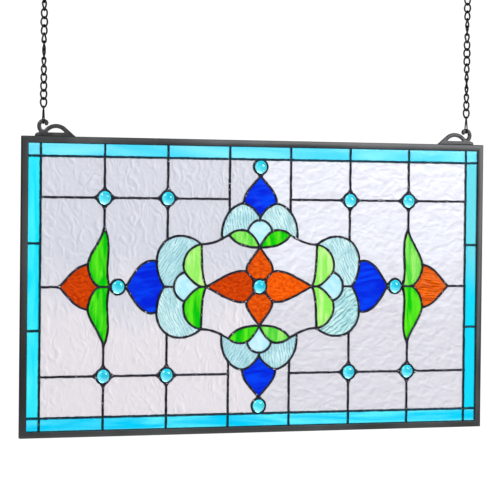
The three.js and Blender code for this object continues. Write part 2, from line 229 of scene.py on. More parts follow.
def cut_finer(outline: Line, longest: float) -> Line:
    """Splits the sides of a closed outline that are longer than a length, and keeps its corners."""
    finer = []
    for place, following in zip(outline, outline[1:] + outline[:1]):
        pieces = max(1, math.ceil(math.dist(place, following) / longest))
        for i in range(pieces):
            share = i / pieces
            finer.append(tuple(p + (q - p) * share for p, q in zip(place, following)))
    return finer


# ------------------------------------------------------------------ the pattern


class Quarter(Enum):
    """The quarters of the panel, each with the signs of its x and z."""

    UPPER_RIGHT = (1, 1)
    UPPER_LEFT = (-1, 1)
    LOWER_RIGHT = (1, -1)
    LOWER_LEFT = (-1, -1)

    @property
    def label(self) -> str:
        """The quarter's name in the names of pieces."""
        return self.name.lower()


@dataclass(frozen=True)
class Pattern:
    """The drawing of the panel, in millimetres from its middle."""

    border_x: float = 281.35
    border_z: float = 154.75
    columns: tuple[float, float, float] = (40.4, 120.8, 201.4)
    row: float = 106.2
    crossbar: float = 51.6
    ring: float = 8.9
    ring_steps: int = 9
    side_gem_x: float = 183.7
    top_gem_z: float = 145.7

    shoulder: Point = (17, 18)
    petal_side_tip: Point = (70, 0)
    petal_top_tip: Point = (0, 47.8)
    leaf_top: Point = (76.8, 51.2)
    leaf_on_seed: Point = (98.4, 17.6)
    leaf_fork: Point = (78, 0)
    seed_end: Point = (112, 0)
    shell_foot: Point = (124.5, 0)
    shell_on_bud: Point = (134.3, 30.6)
    shell_on_column: Point = (120.8, 56.6)
    bud_tip: Point = (173, 0)
    outer_leaf_foot: Point = (194, 0)
    outer_leaf_tip: Point = (201.4, 70.5)
    outer_leaf_on_bud: Point = (221.8, 27)
    outer_bud_foot: Point = (207.5, 0)
    outer_bud_tip: Point = (257.5, 0)
    top_leaf_on_seed: Point = (16, 67.3)
    top_leaf_tip: Point = (40.5, 62.8)
    top_seed_end: Point = (0, 80.8)
    top_shell_foot: Point = (0, 84.5)
    top_shell_on_bud: Point = (22, 101.3)
    top_shell_on_column: Point = (40.4, 91)
    top_shell_end: Point = (49.8, 58.3)
    top_bud_tip: Point = (0, 134.8)

    def curves(self) -> dict[str, Line]:
        """The curved seams of the upper right quarter."""
        p = self
        return {
            "petal_side": bend(p.shoulder, (31, 22), (46, 12.5), p.petal_side_tip),
            "petal_top": bend(p.shoulder, (19.5, 26), (8.5, 36), p.petal_top_tip),
            "leaf_inner": bend(p.petal_side_tip, (77, 12), (75.5, 33), p.leaf_top),
            "leaf_upper": bend(p.leaf_top, (93, 49.5), (103.6, 33), p.leaf_on_seed),
            "leaf_lower": bend(p.leaf_on_seed, (94.3, 13), (88.5, 5.2), p.leaf_fork),
            "seed": bend(p.leaf_on_seed, (106.4, 15.4), (112, 8.3), p.seed_end),
            "shell_bud": bend(p.shell_foot, (130, 8), (134.3, 18), p.shell_on_bud),
            "shell_lower": bend(p.shell_on_bud, (134.5, 41), (129.5, 51), p.shell_on_column),
            "shell_upper": bend(p.shell_on_column, (109.9, 63.6), (91, 63.5), p.leaf_top),
            "bud": bend(p.shell_on_bud, (149, 35.5), (161.5, 22), p.bud_tip),
            "outer_leaf_inner": bend(p.outer_leaf_foot, (203, 22), (189, 48), p.outer_leaf_tip),
            "outer_leaf_upper": bend(
                p.outer_leaf_tip, (204.5, 56), (219.5, 41), p.outer_leaf_on_bud
            ),
            "outer_leaf_lower": bend(
                p.outer_leaf_on_bud, (221.5, 17), (217, 5), p.outer_bud_foot
            ),
            "outer_bud": bend(p.outer_bud_tip, (247, 10), (239, 24), p.outer_leaf_on_bud),
            "top_leaf_lower": bend(p.petal_top_tip, (14, 47.3), (31, 49.5), p.top_leaf_tip),
            "top_leaf_seed": bend(p.petal_top_tip, (3.5, 55), (9, 63), p.top_leaf_on_seed),
            "top_leaf_upper": bend(p.top_leaf_on_seed, (23, 70.5), (35, 68.5), p.top_leaf_tip),
            "top_seed": bend(p.top_leaf_on_seed, (14.7, 75.1), (7.9, 80.8), p.top_seed_end),
            "top_shell_bud": bend(p.top_shell_foot, (4.5, 91), (11.5, 99), p.top_shell_on_bud),
            "top_shell_outer": bend(
                p.top_shell_on_bud, (29, 100.5), (36, 96), p.top_shell_on_column
            ),
            "top_shell_side": bend(
                p.top_shell_on_column, (46.5, 84), (51.5, 72), p.top_shell_end
            ),
            "top_bud": bend(p.top_shell_on_bud, (22, 115), (9, 124), p.top_bud_tip),
            "medallion": bend(p.top_shell_end, (57, 54), (67, 51.5), p.leaf_top),
        }

    def ring_arc(self, centre: Point, start: float, end: float) -> Line:
        """A stretch of the solder ring round a nugget."""
        return arc(centre, self.ring, start, end, self.ring_steps)

    def gems(self) -> dict[str, Point]:
        """The middle of each nugget, by its node's name."""
        places = {
            "gem_centre": (0.0, 0.0),
            "gem_left": (-self.side_gem_x, 0.0),
            "gem_right": (self.side_gem_x, 0.0),
            "gem_top": (0.0, self.top_gem_z),
            "gem_bottom": (0.0, -self.top_gem_z),
        }
        for quarter in Quarter:
            sign_x, sign_z = quarter.value
            for ending, column in (("inner", self.columns[1]), ("outer", self.columns[2])):
                places[f"gem_{quarter.label}_{ending}"] = (sign_x * column, sign_z * self.row)
        return places

    def coloured(self) -> dict[str, tuple[str, Line]]:
        """The outline of every cut piece of coloured glass.

        Returns:
            For each node's name, the kind of piece and its outline.
        """
        c = self.curves()
        level = {
            "petal": path(self.ring_arc((0, 0), 0, 45), c["petal_side"]),
            "seed": path(back(c["leaf_lower"]), c["seed"]),
            "bud": path(c["shell_bud"], c["bud"]),
            "outer_bud": path(back(c["outer_leaf_lower"]), back(c["outer_bud"])),
        }
        upright = {
            "petal": path(self.ring_arc((0, 0), 90, 45), c["petal_top"]),
            "seed": path(c["top_leaf_seed"], c["top_seed"]),
            "bud": path(c["top_shell_bud"], c["top_bud"]),
        }
        quarter_pieces = {
            "side_leaf": path(c["leaf_inner"], c["leaf_upper"], c["leaf_lower"]),
            "side_shell": path(
                c["shell_bud"], c["shell_lower"], c["shell_upper"], c["leaf_upper"], c["seed"]
            ),
            "outer_leaf": path(
                c["outer_leaf_inner"], c["outer_leaf_upper"], c["outer_leaf_lower"]
            ),
            "top_leaf": path(
                c["top_leaf_lower"], back(c["top_leaf_upper"]), back(c["top_leaf_seed"])
            ),
            "top_shell": path(
                c["top_shell_bud"],
                c["top_shell_outer"],
                c["top_shell_side"],
                back(c["top_leaf_upper"]),
                c["top_seed"],
            ),
        }
        pieces = {}
        for kind, line in level.items():
            pieces[f"{kind}_right"] = (kind, across_level(line))
            pieces[f"{kind}_left"] = (kind, flip(across_level(line), -1, 1))
        for kind, line in upright.items():
            pieces[f"{kind}_top"] = (kind, across_upright(line))
            pieces[f"{kind}_bottom"] = (kind, flip(across_upright(line), 1, -1))
        for kind, line in quarter_pieces.items():
            for quarter in Quarter:
                pieces[f"{kind}_{quarter.label}"] = (kind, flip(line, *quarter.value))
        return pieces

    def clear_panes(self) -> list[Line]:
        """The outlines of the clear panes of the upper right quarter."""
        c = self.curves()
        near, middle, far = self.columns
        inner, outer = (middle, self.row), (far, self.row)
        top, side = self.border_z, self.border_x
        above_top_gem = 7.5
        return [
            path([(far, top), (side, top), (side, self.row)], self.ring_arc(outer, 0, 90)),
            path(
                [(middle, top), (far, top)],
                self.ring_arc(outer, 90, 180),
                self.ring_arc(inner, 0, 90),
            ),
            path(
                [(near, top), (middle, top)], self.ring_arc(inner, 90, 180), [(near, self.row)]
            ),
            path(
                [(side, self.row), (side, 0), self.outer_bud_tip],
                c["outer_bud"],
                back(c["outer_leaf_upper"]),
                self.ring_arc(outer, 270, 360),
            ),
            path(
                self.ring_arc(inner, 360, 270),
                back(c["shell_lower"]),
                c["bud"][:-1],
                self.ring_arc((self.side_gem_x, 0), 155, 25),
                c["outer_leaf_inner"][2:],
                self.ring_arc(outer, 270, 180),
            ),
            path(
                [(near, self.row)],
                self.ring_arc(inner, 180, 270),
                c["shell_upper"],
                back(c["medallion"]),
                back(c["top_shell_side"]),
            ),
            path(
                [(near, top), self.top_shell_on_column],
                back(c["top_shell_outer"]),
                c["top_bud"][:-1],
                self.ring_arc((0, self.top_gem_z), -60, 50),
                [(above_top_gem, top)],
            ),
            path(
                c["petal_side"],
                c["leaf_inner"],
                back(c["medallion"]),
                back(c["top_leaf_lower"]),
                back(c["petal_top"]),
            ),
        ]

    def straight_seams(self, reach: Point) -> list[Line]:
        """The straight seams of the upper right quarter.

        Args:
            reach: How far the seams of the border go, in x and in z.

        Returns:
            Each seam as its two ends.
        """
        near, middle, far = self.columns
        diagonal = self.ring * math.sqrt(0.5)
        return [
            [(diagonal, diagonal), self.shoulder],
            [self.top_leaf_tip, self.top_shell_end],
            [self.top_shell_on_column, (near, self.row)],
            [(near, self.row), (near, reach[1])],
            [(near, self.row), (middle - self.ring, self.row)],
            [(middle + self.ring, self.row), (far - self.ring, self.row)],
            [(far + self.ring, self.row), (self.border_x, self.row)],
            [self.shell_on_column, (middle, self.row - self.ring)],
            [(middle, self.row + self.ring), (middle, reach[1])],
            [self.outer_leaf_tip, (far, self.row - self.ring)],
            [(far, self.row + self.ring), (far, reach[1])],
            [(self.border_x, self.crossbar), (reach[0], self.crossbar)],
        ]

    def axis_seams(self) -> list[Line]:
        """The seams on the panel's own axes, at its right and at its top."""
        return [
            [self.petal_side_tip, self.leaf_fork],
            [self.seed_end, self.shell_foot],
            [self.bud_tip, (self.side_gem_x - self.ring, 0)],
            [(self.side_gem_x + self.ring, 0), self.outer_bud_foot],
            [self.outer_bud_tip, (self.border_x, 0)],
            [self.top_seed_end, self.top_shell_foot],
            [self.top_bud_tip, (0, self.top_gem_z - self.ring)],
        ]


PATTERN = Pattern()


# ------------------------------------------------------------------ finishes

Socket = bpy.types.NodeSocket

# The height of the panel's middle, in metres.
GLASS_MIDDLE = -0.39
BLACK, WHITE = (0, 0, 0), (1, 1, 1)
# The sockets of a Mix node that mixes colours.
MIX_SHARE, MIX_FIRST, MIX_SECOND, MIX_RESULT = 0, 6, 7, 2
# The sockets of a Mix node that mixes values.
VALUE_SHARE, VALUE_FIRST, VALUE_SECOND, VALUE_RESULT = 0, 2, 3, 0


def linear(code: str) -> Colour:
    """The linear colour for a screen colour written as six hexadecimal digits."""
    channels = (int(code[i : i + 2], 16) / 255 for i in (0, 2, 4))
    return tuple(c / 12.92 if c <= 0.04045 else ((c + 0.055) / 1.055) ** 2.4 for c in channels)


class Wiring:
    """Adds and links the nodes of one tree."""

    def __init__(self, tree: bpy.types.NodeTree) -> None:
        """Starts on a tree."""
        self.nodes = tree.nodes
        self.links = tree.links

    def node(
        self, kind: str, sources: dict | None = None, **settings: object
    ) -> bpy.types.Node:
        """Adds a node.

        Args:
            kind: The node's type.
            sources: For each input, a value or the output that feeds it.
            settings: The node's own properties.

        Returns:
            The new node.
        """
        node = self.nodes.new(kind)
        for name, value in settings.items():
            setattr(node, name, value)
        for name, value in (sources or {}).items():
            self.feed(node.inputs[name], value)
        return node

    def feed(self, socket: Socket, value: object) -> None:
        """Links an output to an input, or sets the input's own value."""
        if isinstance(value, bpy.types.NodeSocket):
            self.links.new(value, socket)
        else:
            socket.default_value = value

    def calculate(
        self, operation: str, first: object, second: object = 0.0, third: object = 0.0
    ) -> Socket:
        """The result of one arithmetic operation on values or outputs."""
        sources = {0: first, 1: second, 2: third}
        return self.node("ShaderNodeMath", sources, operation=operation).outputs[0]

    def on_vectors(self, operation: str, *vectors: object) -> Socket:
        """The result of one operation on vectors."""
        sources = dict(enumerate(vectors))
        node = self.node("ShaderNodeVectorMath", sources, operation=operation)
        return node.outputs["Value" if operation == "DOT_PRODUCT" else "Vector"]

    def within(self, value: Socket, span: Point, result: Point = (0.0, 1.0)) -> Socket:
        """A value's place in a span, carried over to a span of results and kept inside it."""
        ends = {"From Min": span[0], "From Max": span[1], "To Min": result[0], "To Max": result[1]}
        return self.node("ShaderNodeMapRange", {"Value": value, **ends}).outputs["Result"]

    def ramp(self, value: Socket, stops: Iterable[tuple[float, Colour]]) -> Socket:
        """Turns a value into a colour.

        Args:
            value: The value from 0 to 1.
            stops: Each stop's place and colour.

        Returns:
            The colour output.
        """
        node = self.node("ShaderNodeValToRGB", {"Fac": value})
        elements = node.color_ramp.elements
        for i, (place, colour) in enumerate(stops):
            element = elements[i] if i < 2 else elements.new(place)
            element.position = place
            element.color = (*colour, 1)
        return node.outputs["Color"]

    def blended(self, share: object, first: Socket, second: object, way: str = "MIX") -> Socket:
        """One colour blended with another, in the way and by the share that are given."""
        sources = {MIX_SHARE: share, MIX_FIRST: first, MIX_SECOND: second}
        mix = self.node("ShaderNodeMix", sources, data_type="RGBA", blend_type=way)
        return mix.outputs[MIX_RESULT]


class Bench(Wiring):
    """Wires the nodes of one material round a Principled shader."""

    def __init__(self, name: str) -> None:
        """Starts a material.

        Args:
            name: The name of the material.
        """
        self.material = bpy.data.materials.new(name)
        self.material.use_nodes = True
        super().__init__(self.material.node_tree)
        self.shader = self.nodes["Principled BSDF"]
        self.place = self.nodes.new("ShaderNodeTexCoord").outputs["Object"]

    def shade(self, **values: object) -> None:
        """Sets or feeds the shader's inputs, named with _ for each space."""
        for name, value in values.items():
            self.feed(self.shader.inputs[name.replace("_", " ")], value)

    def along(self, axis: str) -> Socket:
        """The place on the piece along one axis, in metres."""
        return self.node("ShaderNodeSeparateXYZ", {0: self.place}).outputs[axis]

    def stretched(self, scale: Colour, tilt: float = 0.0) -> Socket:
        """The place on the piece, turned in the panel's plane and stretched.

        Args:
            scale: Repeats to the metre along x, y and z.
            tilt: The turn about Y, in degrees.

        Returns:
            The vector output.
        """
        turn = {"Vector": self.place, "Rotation": (0, math.radians(tilt), 0)}
        turned = self.node("ShaderNodeMapping", turn).outputs["Vector"]
        stretch = {"Vector": turned, "Scale": scale}
        return self.node("ShaderNodeMapping", stretch).outputs["Vector"]

    def clouds(self, vector: Socket, detail: float, distortion: float = 0.0) -> Socket:
        """A cloudy value from 0 to 1 that varies over the piece."""
        sources = {"Vector": vector, "Scale": 1.0, "Detail": detail, "Distortion": distortion}
        return self.node("ShaderNodeTexNoise", sources).outputs["Fac"]

    def wrinkled(self, vector: Socket) -> Socket:
        """A value that rises to soft creases, as on hand-rolled sheet glass."""
        sources = {"Vector": vector, "Scale": 1.0, "Detail": 1.0}
        sources |= {"Roughness": 0.35, "Distortion": 1.3}
        kind = {"noise_type": "RIDGED_MULTIFRACTAL", "normalize": True}
        return self.node("ShaderNodeTexNoise", sources, **kind).outputs["Fac"]

    def hammered(self, vector: Socket) -> Socket:
        """A value that rises to the borders of uneven scales, as on hammered glass."""
        drift_sources = {"Vector": vector, "Scale": 0.7, "Detail": 1.0}
        drift = self.node("ShaderNodeTexNoise", drift_sources).outputs["Color"]
        moved = self.on_vectors("MULTIPLY_ADD", drift, (2.0, 2.0, 2.0), vector)
        sources = {"Vector": moved, "Scale": 1.0, "Smoothness": 0.22}
        cells = self.node("ShaderNodeTexVoronoi", sources, feature="SMOOTH_F1")
        return cells.outputs["Distance"]

    def bump(self, height: Socket, depth: float) -> None:
        """Raises the surface by a height, as deep as depth in metres at most."""
        node = self.node("ShaderNodeBump", {"Height": height, "Distance": depth, "Strength": 1.0})
        self.shade(Normal=node.outputs["Normal"])


@dataclass(frozen=True)
class Glass:
    """A sheet of art glass with streaks that run through it, and a rolled texture on it."""

    name: str
    slot: str
    deep: str
    pale: str
    streaks: Colour = (110.0, 30.0, 30.0)
    tilt: float = 0.0
    pale_from: float = 0.62
    fade: float = 0.0
    shine: float = 0.35
    transmission: float = 0.8
    roughness: float = 0.12
    ripples: Colour = (300.0, 300.0, 300.0)
    ripple_tilt: float = 0.0
    waves: float = 0.0
    edge: str = "FFFFFF"
    edge_share: float = 0.0
    # The strength of the painted light and shade on creases or scales, how it grows up the panel,
    # and where that painted light comes from.
    wrinkles: float = 0.0
    scales: bool = False
    calming: float = 2.2
    slope_from: Colour = (0.11, 0.0, 0.02)
    crescent: str = ""
    depth: float = 0.00015

    DEEP_TO = 0.4
    IOR = 1.46
    # What a fade up the panel leaves of the streaks, and adds to them at the panel's middle.
    FADED_STREAKS = 0.5
    FADE_AT_MIDDLE = 0.25
    # How strong the creases' painted light and shade are at the panel's middle, and the painted
    # shaded, flat and lit colours of a crease.
    CREASES_AT_MIDDLE = 0.65
    CREASE_STOPS = ((0.0, (0.83, 0.83, 0.85)), (0.5, (0.92, 0.92, 0.93)), (1.0, (1, 1, 1)))
    # How a wave rises and drops, where its dark line lies, and where that line is broken.
    WAVE_STOPS = ((0.0, BLACK), (0.7, WHITE), (1.0, BLACK))
    LINE_FROM, LINE_DARKEST = 0.55, 0.85
    GAP_SCALE = (240, 240, 130)
    GAP_SPAN = (0.3, 0.5)

    def make(self) -> bpy.types.Material:
        """The material of this glass."""
        bench = Bench(self.name)
        colour = self.streaked(bench)
        rolled = bench.stretched(self.ripples, self.ripple_tilt)
        if self.waves:
            colour, height = self.waved(bench, colour, rolled)
        elif self.wrinkles:
            colour, height = self.creased(bench, colour, rolled)
        else:
            height = bench.clouds(rolled, 2.0, 0.6)
        # Painted light: a pale crescent where light gathers in a nugget, read from the nugget's own
        # attribute.
        if self.crescent:
            share = bench.node("ShaderNodeAttribute", attribute_name="crescent").outputs["Fac"]
            colour = bench.blended(share, colour, (*linear(self.crescent), 1))
        bench.shade(
            Base_Color=colour,
            Transmission_Weight=self.transmission,
            Roughness=self.roughness,
            IOR=self.IOR,
            Specular_Tint=(self.shine, self.shine, self.shine, 1),
        )
        bench.bump(height, self.depth)
        return bench.material

    def streaked(self, bench: Bench) -> Socket:
        """The colour of the sheet, which its streaks and its fade take from deep to pale."""
        streaks = bench.clouds(bench.stretched(self.streaks, self.tilt), 3.0, 0.8)
        if self.fade:
            start = self.FADE_AT_MIDDLE - self.fade * GLASS_MIDDLE
            share = bench.calculate("MULTIPLY_ADD", bench.along("Z"), self.fade, start)
            streaks = bench.calculate("MULTIPLY_ADD", streaks, self.FADED_STREAKS, share)
        stops = [(self.DEEP_TO, linear(self.deep)), (self.pale_from, linear(self.pale))]
        return bench.ramp(streaks, stops)

    def waved(self, bench: Bench, colour: Socket, rolled: Socket) -> tuple[Socket, Socket]:
        """Adds waves that lean one way, with a broken dark line where each one drops.

        Args:
            bench: Where the material is wired.
            colour: The sheet's colour.
            rolled: The place on the sheet, stretched as its texture is.

        Returns:
            The colour with the lines on it, and the height of the waves.
        """
        sources = {"Vector": rolled, "Scale": 1.0, "Distortion": self.waves}
        sources |= {"Detail": 2.0, "Detail Scale": 1.6}
        step = bench.node("ShaderNodeTexWave", sources, wave_profile="SAW").outputs["Fac"]
        height = bench.ramp(step, self.WAVE_STOPS)
        darkest = (self.LINE_DARKEST, (self.edge_share,) * 3)
        line = bench.ramp(step, [(self.LINE_FROM, BLACK), darkest, (1.0, BLACK)])
        gaps = bench.clouds(bench.stretched(self.GAP_SCALE, self.ripple_tilt), 1.0)
        line = bench.calculate("MULTIPLY", line, bench.within(gaps, self.GAP_SPAN))
        return bench.blended(line, colour, (*linear(self.edge), 1)), height

    def creased(self, bench: Bench, colour: Socket, rolled: Socket) -> tuple[Socket, Socket]:
        """Adds creases or scales, with a painted lit side and a painted shaded side in the colour.

        Args:
            bench: Where the material is wired.
            colour: The sheet's colour.
            rolled: The place on the sheet, stretched as its texture is.

        Returns:
            The colour with the creases' painted light and shade on it, and their height.
        """
        texture = bench.hammered if self.scales else bench.wrinkled
        height = texture(rolled)
        # Painted light and shade: the height beside each place, towards the painted light, decides
        # which side of a crease is painted lit and which is painted shaded.
        beside = bench.on_vectors("ADD", rolled, self.slope_from)
        slope = bench.calculate("SUBTRACT", height, texture(beside))
        start = self.CREASES_AT_MIDDLE - self.calming * GLASS_MIDDLE
        strength = bench.calculate("MULTIPLY_ADD", bench.along("Z"), self.calming, start)
        slope = bench.calculate("MULTIPLY", slope, strength)
        side = bench.calculate("MULTIPLY_ADD", slope, self.wrinkles, 0.5)
        lit = bench.ramp(side, self.CREASE_STOPS)
        return bench.blended(1.0, colour, lit, "MULTIPLY"), height


@dataclass(frozen=True)
class Metal:
    """A dark patinated metal, mottled and a little pitted, with bright spots that are both worn
    bare metal and painted glints.
    """

    name: str
    slot: str
    dark: str
    light: str
    roughness: float
    grain: Colour
    pits: float
    worn: float = 0.0
    tinge: str = ""

    METALLIC = 0.8
    # How much smoother and rougher than its roughness the metal is in places.
    SMOOTHER, ROUGHER = 0.1, 0.12
    BARE = (0.75, 0.74, 0.78, 1)
    SPOT_SHARE = 0.8
    SPOT_EDGE = 0.04
    # The painted cyan glow that the seams take from the lit glass of the border, and how far in it
    # reaches.
    TINGE_SHARE = 0.7
    TINGE_REACH = 0.0015

    def make(self) -> bpy.types.Material:
        """The material of this metal."""
        bench = Bench(self.name)
        mottle = bench.clouds(bench.stretched(self.grain), 5.0, 0.4)
        fine = bench.clouds(bench.stretched((900, 900, 900)), 3.0)
        colour = bench.ramp(mottle, [(0.3, linear(self.dark)), (0.75, linear(self.light))])
        # Bright spots: worn bare metal, which also stand as painted glints.
        if self.worn:
            spots = bench.clouds(bench.stretched((520, 520, 520)), 1.0)
            start = 1 - self.worn
            stops = [(start, BLACK), (start + self.SPOT_EDGE, (self.SPOT_SHARE,) * 3)]
            colour = bench.blended(bench.ramp(spots, stops), colour, self.BARE)
        # Painted glow: the seams at the border take a cyan tinge of the light through the glass.
        if self.tinge:
            share = self.tinge_share(bench)
            colour = bench.blended(share, colour, (*linear(self.tinge), 1))
        span = (self.roughness - self.SMOOTHER, self.roughness + self.ROUGHER)
        rough = bench.within(mottle, (0.0, 1.0), span)
        bench.shade(Base_Color=colour, Metallic=self.METALLIC, Roughness=rough)
        bench.bump(fine, self.pits)
        return bench.material

    def tinge_share(self, bench: Bench) -> Socket:
        """How much of the painted glow there is: none inside the border's seams, the same beyond.
        """
        halves = (("Z", GLASS_MIDDLE, PATTERN.border_z), ("X", 0.0, PATTERN.border_x))
        inside = [
            bench.calculate("COMPARE", bench.along(axis), middle, half * MM - self.TINGE_REACH)
            for axis, middle, half in halves
        ]
        both = bench.calculate("MULTIPLY", *inside)
        return bench.calculate("MULTIPLY_ADD", both, -self.TINGE_SHARE, self.TINGE_SHARE)


class Finish(Enum):
    """Every finish of the object."""

    CYAN_TOP = Glass(
        "light cyan glass", "cyan_glass", "4CD2F2", "7EE4F8", (7, 7, 34), transmission=0.85
    )
    CYAN_LEFT = Glass(
        "deep cyan glass", "cyan_glass", "0CD8F2", "4AECF6", (60, 7, 7), transmission=0.85
    )
    CYAN_RIGHT = Glass(
        "fading cyan glass", "cyan_glass", "10D0EE", "66D2E0", (60, 7, 7),
        transmission=0.85, fade=2.5,
    )
    CYAN_FOOT = Glass(
        "cyan glass", "cyan_glass", "00C8F0", "5CE6F8", (7, 7, 80), transmission=0.85
    )
    # The clear sheets carry painted light and shade on their creases and scales.
    CLEAR_STROKES = Glass(
        "rippled clear glass", "clear_glass", "D3D5DE", "E3DFE4", (14, 14, 14),
        transmission=0.85, roughness=0.24, shine=0.8, fade=-2.5, depth=0.0003,
        ripples=(84, 84, 56), ripple_tilt=8, wrinkles=6.8, calming=1.3,
    )
    CLEAR_ARCS = Glass(
        "swirled clear glass", "clear_glass", "D9D8DF", "E3E5EE", (14, 14, 14),
        transmission=0.85, roughness=0.24, shine=0.8, fade=2.5, depth=0.0003,
        ripples=(84, 84, 118), scales=True, wrinkles=3.0, calming=0.4,
        slope_from=(-0.05, 0, 0.18),
    )
    ORANGE = Glass(
        "deep orange glass", "orange_glass", "AC2E00", "D04A04", (230, 90, 420),
        transmission=0.75,
    )
    WARM_ORANGE = Glass(
        "warm orange glass", "orange_glass", "BE3A00", "E0600C", (230, 90, 420),
        transmission=0.75,
    )
    BRIGHT_ORANGE = Glass(
        "bright orange glass", "orange_glass", "CC4600", "EC660A", (230, 90, 420),
        transmission=0.75,
    )
    AMBER = Glass(
        "rippled amber glass", "orange_glass", "C64A02", "E86A10", (60, 60, 160),
        transmission=0.75, shine=0.2, depth=0.0001,
        ripples=(98, 98, 44), ripple_tilt=84, waves=6.0, edge="7C2400", edge_share=1.0,
    )
    SEED = Glass(
        "pale seed glass", "seed_glass", "A8E0EC", "C6E8F0", (60, 60, 60), transmission=0.85
    )
    SHELL_RISING = Glass(
        "rippled aqua glass", "shell_glass", "A6D0D8", "BEE0E6", (50, 50, 50), depth=0.0002,
        ripples=(95, 95, 56), ripple_tilt=-35, waves=7.0, edge="5C949E", edge_share=0.85,
    )
    SHELL_FALLING = Glass(
        "waved aqua glass", "shell_glass", "B0D6DC", "CAE6E8", (50, 50, 50), depth=0.0003,
        ripples=(88, 88, 48), ripple_tilt=26, waves=7.0, edge="5C98A0", edge_share=0.85,
    )
    SHELL_UPRIGHT = Glass(
        "combed aqua glass", "shell_glass", "A8D2DA", "C4E4E8", (50, 50, 50), depth=0.0003,
        ripples=(88, 88, 44), ripple_tilt=6, waves=6.0, edge="5C949E", edge_share=0.85,
    )
    SHELL_WAVED = Glass(
        "deeply waved aqua glass", "shell_glass", "A6D4D8", "C2E4E4", (50, 50, 50),
        depth=0.0004,
        ripples=(64, 64, 38), ripple_tilt=-52, waves=8.0, edge="3C8088", edge_share=1.0,
    )
    DEEP_GREEN = Glass(
        "deep green glass", "green_glass", "00B808", "5ADA1E", (140, 40, 26),
        transmission=0.75, pale_from=0.6,
    )
    MID_GREEN = Glass(
        "leaf green glass", "green_glass", "48C832", "92DC68", (140, 40, 26),
        transmission=0.75, pale_from=0.6,
    )
    PALE_GREEN = Glass(
        "pale green glass", "green_glass", "86DC56", "B8E48C", (140, 40, 26),
        transmission=0.75, pale_from=0.6,
    )
    BLUE = Glass(
        "cobalt glass", "blue_glass", "0020CA", "0040E4", (24, 30, 120), 8, transmission=0.75
    )
    # The nugget's pale crescent is painted light.
    NUGGET = Glass(
        "cyan nugget glass", "nugget_glass", "18C2E0", "48DAEC", (60, 60, 60),
        transmission=0.95, roughness=0.02, shine=1.0, depth=0.00004, crescent="90F0F4",
    )
    CHANNEL = Metal(
        "gunmetal channel", "frame_metal", "303132", "4C4D4E", 0.42, (9, 40, 9), 0.00003
    )
    # The solder's cyan tinge at the border is a painted glow from the backlit glass.
    SOLDER = Metal(
        "patinated solder", "solder", "0A0A14", "242434", 0.36, (260, 260, 260), 0.0002,
        worn=0.31, tinge="00303E",
    )
    CASTING = Metal(
        "dark cast metal", "hanger_metal", "2E2E30", "4A4A4C", 0.42, (150, 150, 150), 0.00008
    )
    LINKS = Metal(
        "blackened wire", "chain_metal", "0C0C0E", "26262A", 0.4, (300, 300, 300), 0.00004
    )

    @property
    def material(self) -> bpy.types.Material:
        """The finish's material, made once."""
        return bpy.data.materials.get(self.value.name) or self.value.make()


# ------------------------------------------------------------------ shaping

SMOOTHING_PASSES = 2
# The height of a row of even triangles, and the gap that is left free along a sheet's rim,
# both as shares of the triangles' sides.
ROW_HEIGHT = math.sqrt(0.75)
RIM_GAP = 0.55
# Tells the triangulation to keep what is inside the rim, and how near points are the same.
INSIDE_ONLY = 1
SAME_CORNER = 1e-5


class Workshop:
    """Turns finished meshes into pieces of the object."""

    def __init__(self, frame: dict) -> None:
        """Reads where the panel is.
        """
        self.nodes = frame["nodes"]
        low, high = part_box("frame")
        self.middle = (low + high) / 2
        self.half = (high - low) / 2 / MM

    def settle(self, bm: bmesh.types.BMesh) -> None:
        """Moves a mesh drawn in millimetres on the panel to its place, in metres."""
        move = Matrix.Translation(self.middle) @ Matrix.Scale(MM, 4)
        bmesh.ops.transform(bm, matrix=move, verts=bm.verts)

    def piece(
        self,
        name: str,
        bm: bmesh.types.BMesh,
        finish: Finish,
        nodes: Iterable[str],
        crease: float = 35.0,
    ) -> bpy.types.Object:
        """Finishes a mesh as a piece that stands for nodes of the frame.

        Args:
            name: The piece's name.
            bm: Its mesh in metres, which is freed.
            finish: Its finish.
            nodes: The nodes that it stands for.
            crease: The angle between faces past which an edge is sharp, in degrees.

        Returns:
            The new piece.
        """
        bmesh.ops.recalc_face_normals(bm, faces=bm.faces)
        mesh = bpy.data.meshes.new(name)
        bm.to_mesh(mesh)
        bm.free()
        mesh.shade_smooth()
        mesh.set_sharp_from_angle(angle=math.radians(crease))
        mesh.materials.append(finish.material)
        piece = bpy.data.objects.new(name, mesh)
        bpy.context.scene.collection.objects.link(piece)
        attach(piece, "root")
        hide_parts(*nodes)
        log.info("%s: %d faces, %s", name, len(mesh.polygons), finish.value.name)
        return piece


def add_mesh(whole: bmesh.types.BMesh, part: bmesh.types.BMesh) -> None:
    """Adds one mesh to another and frees it."""
    mesh = bpy.data.meshes.new("part")
    part.to_mesh(mesh)
    part.free()
    whole.from_mesh(mesh)
    bpy.data.meshes.remove(mesh)


def station(place: Vector, side: Vector, flat: Vector, along: Vector) -> Matrix:
    """Where a unit circle goes: its middle, its two radii and the way that it faces."""
    rows = [(side[i], flat[i], along[i], place[i]) for i in range(3)]
    return Matrix([*rows, (0, 0, 0, 1)])


